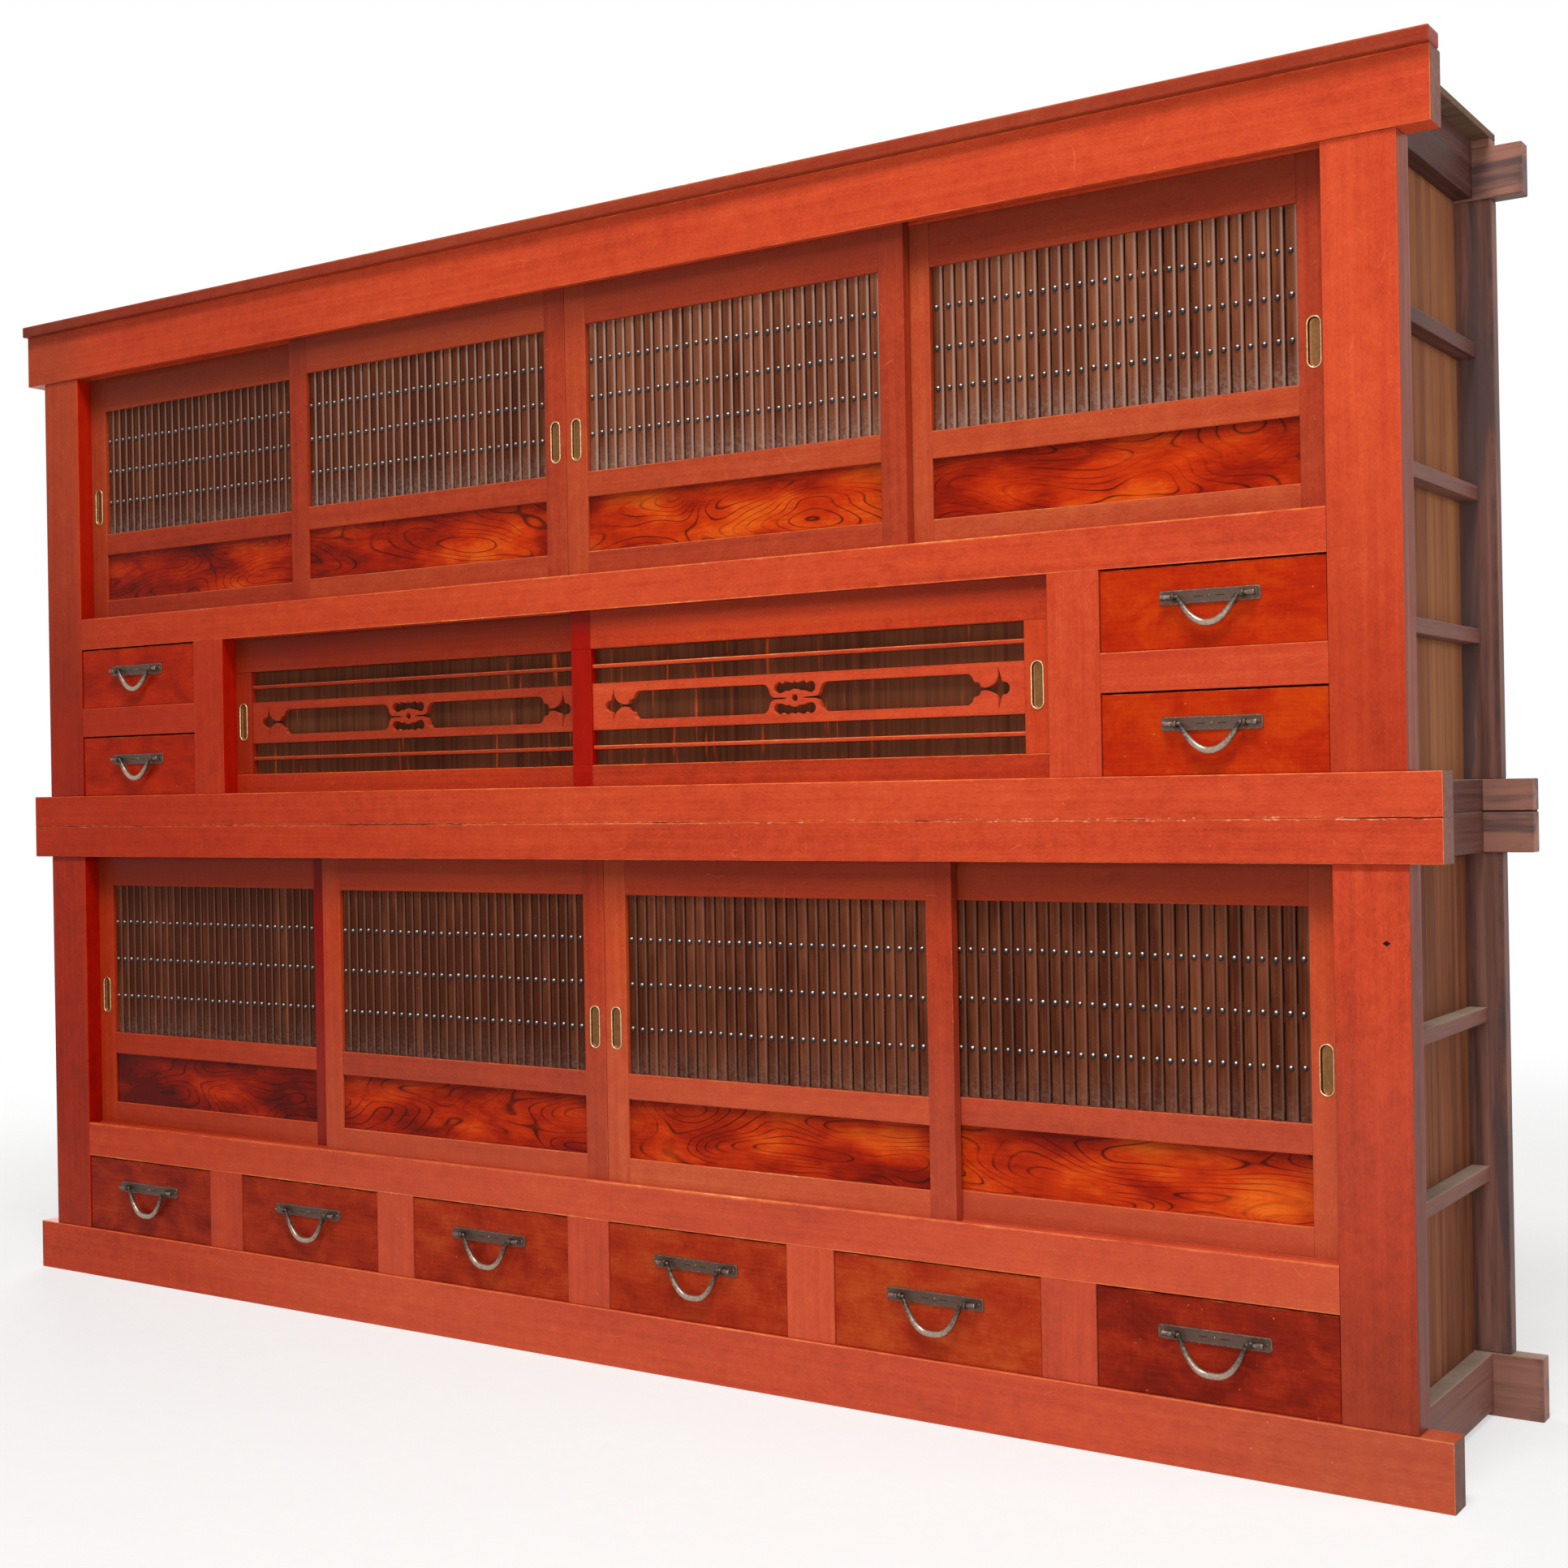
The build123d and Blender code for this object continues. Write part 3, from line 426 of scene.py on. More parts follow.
def metal(name, dull, bright, rough_dull, rough_bright, grain_scale, metallic=0.9):
    """Hand-worked metal: the wear and painted light value turns the dull colour into the bright one, which
    is rubbed metal, and on the studs and the bail's belly a painted highlight.
    """
    s = Shader(name)
    grain, wear, _ = piece_coordinates(s)
    spots = s.noise(grain, grain_scale, 5, 0.7)
    beaten = s.noise(grain, grain_scale * 0.35, 2, 0.5)
    # rubbed metal, and on the studs and the bail's belly a painted highlight
    rubbed = s.step(s.plus(wear, s.minus(spots, 0.5)), 0.2, 0.95)
    colour = s.mix(rubbed, dull, bright)
    colour = s.mix(s.step(spots, 0.3, 0.7, 0.35, 0.0), colour, (0.02, 0.016, 0.014, 1))
    rough = s.plus(s.times(s.minus(1.0, rubbed), rough_dull - rough_bright),
                   s.step(spots, 0.2, 0.8, rough_bright - 0.04, rough_bright + 0.08))
    return s.surface(colour, rough, [(beaten, 0.0006, 0.35), (spots, 0.0002, 0.3)], Metallic=metallic)


BRIGHT_IRON = rgb(176, 154, 136)
WOODS = {
    "lacquer": lacquer("red_lacquer"),
    "cornice": lacquer("cornice_lacquer", (0.52, 0.56, 0.72)),
    "post": lacquer("post_lacquer", ends=rgb(148, 80, 58), reveals=True,
                    feet=((1.5, 0.84), (0.72, 0.1)), nail=(1.29, 0.7)),
    # the doors' lacquers are darker copies of the red lacquer, painted shade of their recess behind the
    # posts and the head
    "upper_door": lacquer("upper_door_lacquer", (0.74, 0.84, 0.9), heads=True),
    "lower_door": lacquer("lower_door_lacquer", (0.82, 0.82, 0.76), heads=True),
    "figured": figured_board("figured_amber_board"),
    "drawer": drawer_lacquer("side_drawer_lacquer", rgb(120, 24, 10), rgb(168, 34, 8), rgb(204, 46, 7),
                             rgb(226, 76, 10)),
    "base_drawer": drawer_lacquer("base_drawer_lacquer", rgb(102, 24, 14), rgb(152, 38, 18),
                                  rgb(190, 58, 24), rgb(214, 94, 38)),
    "transom_door": lacquer("transom_door_lacquer", (0.92, 0.8, 0.66), heads=True),
    # the left transom door's lacquers are darker copies of the lacquer, painted shade
    "left_transom": lacquer("left_transom_lacquer", (0.58, 0.42, 0.42), heads=True),
    "left_carving": lacquer("left_carving_lacquer", (0.72, 0.74, 0.78)),
    "fresh": lacquer("fresh_red_lacquer", (0.6, 0.08, 0.05), heads=True),
    "frame": lacquer("frame_lacquer", (0.88, 0.76, 0.8), reveals=True),
    "slat": slat_wood("dark_slats"),
    "backing": plain_wood("dark_backing", rgb(46, 21, 13), rgb(72, 36, 21), rgb(98, 54, 34), 0.6,
                          ripple=160.0, line=rgb(190, 76, 34), gloss=0.04),
    "raw": plain_wood("drawer_box_wood", rgb(128, 98, 66), rgb(160, 128, 90), rgb(184, 154, 114)),
    "back": plain_wood("back_board_wood", rgb(84, 60, 44), rgb(116, 86, 62), rgb(146, 112, 82)),
    "roof": plain_wood("roof_board_wood", rgb(70, 50, 40), rgb(100, 74, 58), rgb(126, 98, 78), dust=0.35),
    "panel": plain_wood("side_panel_wood", rgb(92, 52, 35), rgb(132, 80, 54), rgb(158, 106, 72), 0.6,
                        ripple=60.0, gloss=0.06),
    "rail": plain_wood("side_rail_wood", rgb(72, 44, 40), rgb(102, 64, 56), rgb(132, 90, 78), 0.5, 0.85),
    "rear": plain_wood("rear_timber", rgb(90, 60, 52), rgb(132, 92, 81), rgb(160, 112, 96), 0.5, 0.6,
                       stain=rgb(84, 70, 70), ripple=55.0, edge=rgb(56, 49, 53)),
    "iron": metal("wrought_iron", rgb(50, 39, 33), BRIGHT_IRON, 0.46, 0.26, 240.0, 0.75),
    "plate": metal("plate_iron", rgb(96, 72, 60), BRIGHT_IRON, 0.5, 0.3, 240.0, 0.6),
    "stub": metal("knob_iron", rgb(58, 46, 41), rgb(176, 154, 138), 0.4, 0.26, 240.0, 0.75),
    # the studs' bright colour is their painted highlight
    "stud": metal("stud_iron", rgb(40, 38, 38), rgb(242, 242, 240), 0.3, 0.22, 500.0, 0.3),
    "brass": metal("old_brass", rgb(138, 92, 52), rgb(232, 204, 152), 0.4, 0.3, 160.0),
}


# ================================================================ building tools
class Piece:
    """Gathers surfaces with their grain, wear and painted light, tone and rim, and becomes one object."""

    def __init__(self):
        self.points, self.faces, self.face_materials = [], [], []
        self.grain, self.wear, self.tone, self.rim = [], [], [], []
        self.materials = []

    def add(self, points, faces, material, along="x", wear=0.0, rim=0.0, tone=None, shift=None):
        """Wear and painted light, and rim, are one value for all points or one for each."""
        if material not in self.materials:
            self.materials.append(material)
        start = len(self.points)
        shift = shift or random_shift()
        tone = rng.random() if tone is None else tone
        order = {"x": (0, 2, 1), "y": (1, 0, 2), "z": (2, 0, 1)}[along]
        self.grain += [[p[a] * MM + shift[i] * MM for i, a in enumerate(order)] for p in points]
        self.points += [tuple(p) for p in points]
        count = len(points)
        self.wear += list(wear) if hasattr(wear, "__len__") else [wear] * count
        self.rim += list(rim) if hasattr(rim, "__len__") else [rim] * count
        self.tone += [tone] * count
        self.faces += [tuple(start + i for i in face) for face in faces]
        self.face_materials += [self.materials.index(material)] * len(faces)

    def object(self, name, body, slot, *nodes):
        mesh = bpy.data.meshes.new(name)
        mesh.from_pydata([[c * MM for c in p] for p in self.points], [], self.faces)
        for key, values in (("wear", self.wear), ("tone", self.tone), ("rim", self.rim)):
            mesh.attributes.new(key, "FLOAT", "POINT").data.foreach_set("value", values)
        grain = mesh.attributes.new("grain", "FLOAT_VECTOR", "POINT")
        grain.data.foreach_set("vector", np.array(self.grain, np.float32).ravel())
        for key in self.materials:
            mesh.materials.append(WOODS[key])
        mesh.polygons.foreach_set("material_index", self.face_materials)
        mesh.polygons.foreach_set("use_smooth", [True] * len(mesh.polygons))
        mesh.update()
        # normals weighted by face area keep the broad faces flat beside rounded arrises
        normals = np.zeros((len(mesh.vertices), 3))
        for polygon in mesh.polygons:
            normals[list(polygon.vertices)] += np.array(polygon.normal) * polygon.area
        lengths = np.linalg.norm(normals, axis=1, keepdims=True)
        normals = np.where(lengths > 1e-15, normals / np.maximum(lengths, 1e-15), (0.0, 0.0, 1.0))
        mesh.normals_split_custom_set_from_vertices(normals.tolist())
        item = bpy.data.objects.new(name, mesh)
        bpy.context.scene.collection.objects.link(item)
        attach(item, body)
        if nodes:
            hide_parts(*nodes)
        return item


# how worn the arrises of each side of a board are, from minus X (mx) to plus Z (pz)
EXPOSED = {"mx": 0.45, "px": 0.45, "my": 1.0, "py": 0.25, "mz": 0.4, "pz": 1.0}
# the same for timbers whose ends run into others
UPRIGHT = {"mx": 0.5, "px": 0.5, "mz": 0.0, "pz": 0.0}
END_RAIL = {"mx": 1.0, "px": 1.0, "my": 0.0, "py": 0.0, "mz": 0.7}
REAR_BEAM_WEAR = {"mx": 1.0, "px": 1.0, "my": 0.7, "py": 0.6, "mz": 0.6, "pz": 0.6}
REAR_POST_WEAR = {"mx": 1.0, "px": 1.0, "my": 0.8, "py": 0.6, "mz": 0.0, "pz": 0.0}
# radius of the arrises and reach of their wear
DOOR_EDGE, FRAME_EDGE, POST_EDGE, RAIL_EDGE = (0.9, 4.0), (1.0, 4.0), (1.2, 5.0), (1.5, 5.0)


def board(piece, x, y, z, material, along="x", edge=1.0, band=5.0, rim_reach=0.0, hole=None, tone=None,
          **worn):
    """A squared timber with rounded, worn arrises.

    worn changes how worn each side's arrises are, such as px=0 for the +X side. hole is the
    middle (X, Z), half width and half height of a round-ended opening in the front face.
    """
    exposed = {**EXPOSED, **worn}
    steps = []
    for low, high in (x, y, z):
        size = high - low
        e = min(edge, size * 0.3)
        w = min(max(band, e * 1.2), size * 0.42)
        steps.append([(low, 1.0), (low + e, 0.85), (low + w, 0.0),
                      (high - w, 0.0), (high - e, 0.85), (high, 1.0)])
    if hole:
        middle_x, middle_z, half_x, half_z = hole
        steps[0] = sorted(steps[0] + [(middle_x - half_x, 0.0), (middle_x + half_x, 0.0)])
        steps[2] = sorted(steps[2] + [(middle_z - half_z, 0.0), (middle_z + half_z, 0.0)])
    last = [len(s) - 1 for s in steps]
    rounding = min(min(edge, (high - low) * 0.3) for low, high in (x, y, z))
    index, points, wear, rim, faces = {}, [], [], [], []

    def side(axis, i):
        return ("m" if i < len(steps[axis]) / 2 else "p") + "xyz"[axis]

    def point(key):
        if key not in index:
            index[key] = len(points)
            place = [steps[a][key[a]][0] for a in range(3)]
            ends = [a for a in range(3) if key[a] in (0, last[a])]
            if len(ends) > 1:
                pull = rounding * (1 - 1 / math.sqrt(len(ends)))
                for a in ends:
                    place[a] += pull if key[a] == 0 else -pull
            level = max((exposed[side(a, key[a])] * exposed[side(t, key[t])] * steps[t][key[t]][1]
                         for a in ends for t in range(3) if t != a), default=0.0)
            points.append(place)
            wear.append(level)
            if rim_reach:
                gap = min(place[0] - x[0], x[1] - place[0], place[2] - z[0], z[1] - place[2])
                rim.append(max(0.0, 1 - gap / rim_reach))
        return index[key]

    for normal in range(3):
        a, b = [t for t in range(3) if t != normal]
        for level in (0, last[normal]):
            flip = (level == 0) != (normal == 1)
            for i in range(last[a]):
                for j in range(last[b]):
                    corners = []
                    for di, dj in ((0, 0), (1, 0), (1, 1), (0, 1)):
                        key = [0, 0, 0]
                        key[normal], key[a], key[b] = level, i + di, j + dj
                        corners.append(tuple(key))
                    if hole and normal == 1 and level == 0:
                        mid_x = (steps[0][i][0] + steps[0][i + 1][0]) / 2
                        mid_z = (steps[2][j][0] + steps[2][j + 1][0]) / 2
                        if abs(mid_x - middle_x) < half_x and abs(mid_z - middle_z) < half_z:
                            continue
                    quad = [point(k) for k in corners]
                    faces.append(quad[::-1] if flip else quad)
    if hole:
        # fill the corners between the square cut-out and the round-ended opening
        outline = stadium(middle_x, middle_z, half_x, half_z)
        first = len(points)
        for px, pz in outline:
            centre = middle_z + math.copysign(half_z - half_x, pz - middle_z)
            reach = max(abs(px - middle_x), abs(pz - centre))
            points.append((px, y[0], pz))
            points.append((middle_x + (px - middle_x) * half_x / reach, y[0],
                           centre + (pz - centre) * half_x / reach))
            wear += [0.5, 0.0]
            rim += [0.0, 0.0] if rim_reach else []
        count = len(outline)
        for i in range(count):
            n = (i + 1) % count
            faces.append([first + 2 * i, first + 2 * n, first + 2 * n + 1, first + 2 * i + 1])
    piece.add(points, faces, material, along, wear, rim if rim_reach else 0.0, tone)


def arc(centre, radius, start, end, count=8):
    """Points on a circle between two angles in degrees."""
    angles = [math.radians(start + (end - start) * i / count) for i in range(count + 1)]
    return [(centre[0] + radius * math.cos(a), centre[1] + radius * math.sin(a)) for a in angles]


def stadium(x, z, half_x, half_z):
    """Outline of a round-ended upright opening, as (X, Z) points."""
    straight = half_z - half_x
    return arc((x, z + straight), half_x, 0, 180, 16) + arc((x, z - straight), half_x, 180, 360, 16)


def surface_grid(piece, rows, material, along="x", closed=True, caps=(False, False), **values):
    """A skin over rows of points; caps close the first and the last row."""
    width = len(rows[0])
    faces = []
    for r in range(len(rows) - 1):
        for c in range(width if closed else width - 1):
            n = (c + 1) % width
            faces.append([r * width + c, r * width + n, (r + 1) * width + n, (r + 1) * width + c])
    if caps[0]:
        faces.append(list(range(width))[::-1])
    if caps[1]:
        faces.append([(len(rows) - 1) * width + c for c in range(width)])
    piece.add([p for row in rows for p in row], faces, material, along, **values)


def relief(piece, outline, profile, face, material, along):
    """A flat piece or a cup, from its outline at an inset and a profile of (inset, depth, wear)."""
    rows = [[(u, face + depth, w) for u, w in outline(inset)] for inset, depth, _ in profile]
    wear = [rub_and_light for row, (_, _, rub_and_light) in zip(rows, profile) for _ in row]
    surface_grid(piece, rows, material, along, caps=(False, True), wear=wear)


def turns(count):
    """Angles evenly round a circle."""
    return [2 * math.pi * i / count for i in range(count)]


def ring_x(x, y, z, radius):
    """A circle round an axis along X."""
    return [(x, y + radius * math.cos(turn), z + radius * math.sin(turn)) for turn in turns(16)]


# ================================================================= slatted doors
POST_FACE = mm_box("upper_front_posts")[0][1]
BODY_HALF = mm_box("upper_front_posts")[1][0]
DOOR_THICKNESS, DOOR_TRACK, STILE = 18.0, 3.0, 42.0
HIP_DEPTH, HIP_BOARD, BACKING = 4.0, 5.0, 5.0
SLATS, SLAT_GAP, SLAT_DEPTH = 29, 1.6, 6.0
STUD_ROWS, STUD_RADIUS, STUD_HEIGHT, BATTEN_HALF = 3, 4.15, 3.5, 12.0
PULL_HALF_X, PULL_HALF_Z = 10.0, 34.0
RAIL_SET_BACK, BACKING_SET_BACK, HIP_TONGUE, END_SHADE = 0.25, 0.3, 0.5, 34.0
# heights of the top rail, the hip board and the bottom rail, the pull's height above the track,
# and how far the top rail runs up into the head
ROWS = {
    "upper": {"top": 64.0, "hip": 87.0, "bottom": 36.0, "pull": 216.0, "head": 8.0},
    "lower": {"top": 56.0, "hip": 93.0, "bottom": 39.0, "pull": 243.0, "head": 8.0},
}
LOCK_RAIL = 40.0
# from door 1 to door 4: how light the hip board and the slats are, partly their own colour and partly
# painted shade that makes the doors darker towards the left, and how strong the slats' painted highlight and
# their dust are
HIP_TONES = {"upper": (0.35, 0.65, 0.8, 0.6), "lower": (0.0, 0.4, 0.6, 0.95)}
SLAT_TONES = {"upper": (-0.45, -0.15, 0.45, 0.4), "lower": (-0.4, -0.35, -0.05, -0.05)}
SLAT_SHINE = {"upper": (0.6, 0.75, 0.9, 0.9), "lower": (0.4, 0.4, 0.4, 0.4)}


def finger_pull(door, x, face, z):
    """A cast cup with a rolled, stadium-shaped rim."""
    profile = ((0.0, 0.4, 0.2), (0.0, -0.4, 0.7), (0.4, -0.9, 1.0), (0.9, -1.0, 1.0), (1.5, -0.8, 1.0),
               (1.9, -0.2, 0.7), (2.1, 1.2, 0.15), (2.4, 3.2, 0.0), (3.6, 3.9, 0.0), (6.8, 4.0, 0.0))
    pull = Piece()
    relief(pull, lambda inset: stadium(x, z, PULL_HALF_X - inset, PULL_HALF_Z - inset), profile, face,
           "brass", "z")
    pull.object(f"{door}_finger_pull", door, "door_wood")


# painted light across a reed, from its left foot over the crown to its right foot: a painted highlight on
# the right flank, painted shade on the left flank and at both feet
REED_PAINTED_LIGHT = (-1.0, -0.8, -0.35, -0.1, 0.0, 0.0, 0.0, 0.1, 0.4, 0.9, 1.0, -0.2, -1.0)
REED_LEVELS = (0.0, 0.06, 0.2, 0.4, 0.6, 0.8, 1.0)
DUST_HEIGHT = 34.0


def slat_row(piece, left, right, seat, bottom, top, middle_tone, shine):
    """Half-round reeds side by side, each a little different."""
    pitch = (right - left) / SLATS
    for i in range(SLATS):
        centre = left + (i + 0.5) * pitch + rng.uniform(-0.25, 0.25)
        half = (pitch - SLAT_GAP) / 2 + rng.uniform(-0.3, 0.25)
        lean = rng.uniform(-0.3, 0.3)
        depth = SLAT_DEPTH + rng.uniform(-0.5, 0.0)
        shift = random_shift()
        tone = middle_tone + rng.uniform(-0.3, 0.3)
        front, wear, rim = [], [], []
        for t in REED_LEVELS:
            z = bottom + t * (top - bottom)
            x = centre + lean * (t - 0.5)
            section = []
            for k, rub_and_light in enumerate(REED_PAINTED_LIGHT):
                angle = math.pi * k / (len(REED_PAINTED_LIGHT) - 1)
                # flattened crown with quick shoulders
                across = math.copysign(abs(math.cos(angle)) ** 0.8, -math.cos(angle))
                section.append((x + half * across, seat - depth * math.sin(angle) ** 0.75, z))
                wear.append(rub_and_light * (shine if rub_and_light > 0 else 1.0))
                rim.append(max(0.0, 1 - (z - bottom) / DUST_HEIGHT) * shine)
            front.append(section)
        surface_grid(piece, front, "slat", "z", closed=False, wear=wear, rim=rim, tone=tone, shift=shift)
        back = [[section[-1], section[0]] for section in front]
        surface_grid(piece, back, "slat", "z", closed=False, tone=tone, shift=shift)
        for section, way in ((front[0], 1), (front[-1], -1)):
            piece.add(section, [list(range(len(section)))[::way]], "slat", "z", tone=tone, shift=shift)


def studs(piece, left, right, crown, bottom, top):
    """Dome-headed iron studs, one on each slat in three rows."""
    pitch = (right - left) / SLATS
    for row in range(1, STUD_ROWS + 1):
        level = bottom + (top - bottom) * row / (STUD_ROWS + 1)
        for i in range(SLATS):
            x = left + (i + 0.5) * pitch + rng.uniform(-0.5, 0.5)
            z = level + rng.uniform(-0.9, 0.9)
            radius = STUD_RADIUS + rng.uniform(-0.3, 0.25)
            rows, wear = [], []
            for k in range(7):
                angle = math.pi / 2 * k / 6.5
                ring = [(math.cos(angle) * math.cos(turn), -math.sin(angle),
                         math.cos(angle) * math.sin(turn)) for turn in turns(12)]
                rows.append([(x + radius * u, crown + 0.7 + STUD_HEIGHT * v, z + radius * w)
                             for u, v, w in ring])
                # painted highlight: a bright spot on each dome towards the front, the top and the right
                wear += [max(0.0, 0.22 * u - 0.72 * v + 0.66 * w - 0.8) * 5 for u, v, w in ring]
            surface_grid(piece, rows, "stud", "x", caps=(False, True), wear=wear)


def slatted_door(row, number):
    """A frame round a window of studded reeds over a figured hip board."""
    label = f"{row}_door_{number}"
    sizes = ROWS[row]
    low, high = mm_box(f"{label}_frame")
    left, right, bottom, top, back = low[0], high[0], low[2], high[2], high[1]
    face = back - DOOR_THICKNESS
    floor = bottom + DOOR_TRACK
    inner = (left + STILE, right - STILE)
    hip = (floor + sizes["bottom"], floor + sizes["bottom"] + sizes["hip"])
    window = (hip[1] + LOCK_RAIL, top - sizes["head"] - sizes["top"])
    pull_side = 1 if number in (2, 4) else -1
    pull_x = right - STILE / 2 if pull_side > 0 else left + STILE / 2
    pull_z = floor + sizes["pull"]

    wood = Piece()
    for side, x in ((-1, (left, inner[0])), (1, (inner[1], right))):
        hole = (pull_x, pull_z, PULL_HALF_X, PULL_HALF_Z) if side == pull_side else None
        # a stile that the next door covers has kept its red
        covered = side == 1 and label == "lower_door_1"
        board(wood, x, (face, back), (bottom, top), "fresh" if covered else f"{row}_door", "z", *DOOR_EDGE,
              hole=hole, mx=0.62, px=0.62, mz=0.0, pz=0.0)
    for z, bare in (((bottom, hip[0]), 1.0), ((hip[1], window[0]), 0.85), ((window[1], top), 0.0)):
        board(wood, inner, (face + RAIL_SET_BACK, back), z, f"{row}_door", "x", *DOOR_EDGE,
              mx=0, px=0, pz=bare, mz=0.3)
    hip_x, hip_z = ((v[0] - HIP_TONGUE, v[1] + HIP_TONGUE) for v in (inner, hip))
    figured_face(wood, hip_x, (face + HIP_DEPTH, face + HIP_DEPTH + HIP_BOARD), hip_z,
                 HIP_TONES[row][number - 1])
    board(wood, inner, (back - BACKING, back - BACKING_SET_BACK), window, "backing", "z")
    seat = face + HIP_DEPTH + SLAT_DEPTH
    for level in range(1, STUD_ROWS + 1):
        z = window[0] + (window[1] - window[0]) * level / (STUD_ROWS + 1)
        board(wood, inner, (seat, back - BACKING), (z - BATTEN_HALF, z + BATTEN_HALF), "backing")
    wood.object(f"{label}_joinery", label, "door_wood", f"{label}_frame")

    finger_pull(label, pull_x, face, pull_z)

    reeds = Piece()
    slat_row(reeds, *inner, seat, *window, SLAT_TONES[row][number - 1], SLAT_SHINE[row][number - 1])
    reeds.object(f"{label}_reeds", label, "slat_wood", f"{label}_slats")
    iron = Piece()
    studs(iron, *inner, seat - SLAT_DEPTH, *window)
    iron.object(f"{label}_studs", label, "wrought_iron")


def figured_face(piece, x, y, z, tone):
    """A figured board, given painted shade towards the top and the ends through its wear and painted light
    value.
    """
    rows, wear = [], []
    for up in (0, 0.03, 0.3, 0.6, 0.75, 0.88, 1):
        row = []
        for along in (0, 0.02, 0.05, 0.1, 0.3, 0.7, 0.9, 0.95, 0.98, 1):
            row.append((x[0] + (x[1] - x[0]) * along, y[0], z[0] + (z[1] - z[0]) * up))
            # painted shade towards the top and the ends
            end = min(row[-1][0] - x[0], x[1] - row[-1][0]) / END_SHADE
            wear.append(min(1.0, max(0.0, (up - 0.55) / 0.45) ** 1.5 * 1.1 + max(0.0, 1 - end) * 0.45))
        rows.append(row)
    surface_grid(piece, rows, "figured", closed=False, wear=wear, tone=tone, shift=random_shift())
    board(piece, x, (y[0] + 0.05, y[1]), z, "backing")


for row in ROWS:
    for number in range(1, 5):
        slatted_door(row, number)


# ================================================================= transom doors
TRANSOM_STILE, TRANSOM_TOP, TRANSOM_BOTTOM, TRANSOM_PULL = 40.0, 61.0, 34.0, 129.0
STILE_SET_BACK = 0.2
BAR_INSET, BAR = 28.0, 6.0
CARVING_HEIGHT, CARVING_THICKNESS = 74.0, 9.0


def mirror_points(points, flip_x, flip_z):
    """The points mirrored about the motif's middle, in order round the outline."""
    moved = [(-u if flip_x else u, -w if flip_z else w) for u, w in points]
    return moved[::-1] if flip_x != flip_z else moved


def long_slot():
    """Upper half of the right-hand cut-out, from the ring to the tip, then mirrored below."""
    upper = [(14.2, 0.9), (22.0, 1.6), (33.0, 1.7)]
    upper += [(38.8, 2.6), (42.4, 5.2), (44.4, 9.4), (45.6, 13.8), (48.4, 18.4), (52.2, 21.6), (57.0, 22.6)]
    upper += [(120.0, 22.8), (200.0, 22.8), (289.0, 22.8)]
    upper += arc((290.5, 10.8), 12.0, 90, 15, 6)
    upper += [(303.4, 11.2), (305.2, 10.6)] + arc((306.6, 3.6), 7.0, 68, 4, 5)
    upper += [(314.8, 3.0), (320.0, 2.3), (325.4, 2.9)]
    upper += arc((322.4, 22.0), 18.6, -74, 20, 10) + [(341.2, 31.0)]
    upper += [(343.6, 24.0), (346.0, 16.0), (347.6, 10.4)]
    upper += arc((350.4, 0.0), 9.4, 96, 0, 8)
    return upper + [(u, -w) for u, w in upper[-2::-1]]


def cloud():
    """The scalloped cut-out above the middle ring."""
    outline = arc((-28.6, 15.6), 8.9, 262, 82, 12)
    outline += [(-24.0, 23.6), (-21.2, 22.0)] + arc((-15.6, 20.4), 5.2, 158, 52, 6)
    outline += [(-9.4, 24.4), (-6.2, 22.9), (-3.6, 23.2), (-1.4, 25.2), (0.0, 28.0)]
    right = [(-u, w) for u, w in outline[::-1]]
    outline += right[1:]
    outline += [(22.0, 7.6), (16.4, 10.0), (13.0, 10.6), (11.2, 9.8)]
    outline += arc((0.0, 0.0), 13.0, 48, 132, 10)
    outline += [(-11.2, 9.8), (-13.0, 10.6), (-16.4, 10.0), (-22.0, 7.6)]
    return outline


def carved_board(name, body, x, y, z, slot, material):
    """The middle board with its cut-outs, as a filled and bevelled outline."""
    curve = bpy.data.curves.new(name, "CURVE")
    curve.dimensions = "2D"
    curve.fill_mode = "BOTH"
    bevel = 0.5
    curve.extrude = ((y[1] - y[0]) / 2 - bevel) * MM
    curve.bevel_depth = bevel * MM
    curve.bevel_resolution = 1
    centre = ((x[0] + x[1]) / 2, (z[0] + z[1]) / 2)
    left, right, low, high = x[0] + bevel, x[1] - bevel, z[0] + bevel, z[1] - bevel
    outer = [(left, low), (right, low), (right, high), (left, high)]
    ring = arc((0.0, 0.0), 6.0, 0, 342, 19)
    holes = [long_slot(), mirror_points(long_slot(), True, False),
             cloud(), mirror_points(cloud(), False, True), ring]
    outlines = [outer] + [[(centre[0] + u, centre[1] + w) for u, w in hole] for hole in holes]
    for outline in outlines:
        spline = curve.splines.new("POLY")
        spline.points.add(len(outline) - 1)
        for point, (u, w) in zip(spline.points, outline):
            point.co = (u * MM, w * MM, 0.0, 1.0)
        spline.use_cyclic_u = True
    raw = bpy.data.objects.new(name + "_outline", curve)
    bpy.context.scene.collection.objects.link(raw)
    bpy.context.view_layer.update()
    mesh = bpy.data.meshes.new_from_object(raw.evaluated_get(bpy.context.evaluated_depsgraph_get()))
    bpy.data.objects.remove(raw)
    middle = (y[0] + y[1]) / 2
    mesh.transform(Matrix.Translation((0, middle * MM, 0)) @ Matrix.Rotation(math.pi / 2, 4, "X"))
    wear = []
    for vertex in mesh.vertices:
        lean = 1 - max(abs(c) for c in vertex.normal)
        wear.append(min(1.0, lean * 4.0) * (0.45 + 0.55 * max(0.0, vertex.normal.z)))
    piece = Piece()
    piece.add([[c / MM for c in v.co] for v in mesh.vertices], [list(p.vertices) for p in mesh.polygons],
              material, "x", wear)
    piece.object(name, body, slot).data.set_sharp_from_angle(angle=math.radians(40))


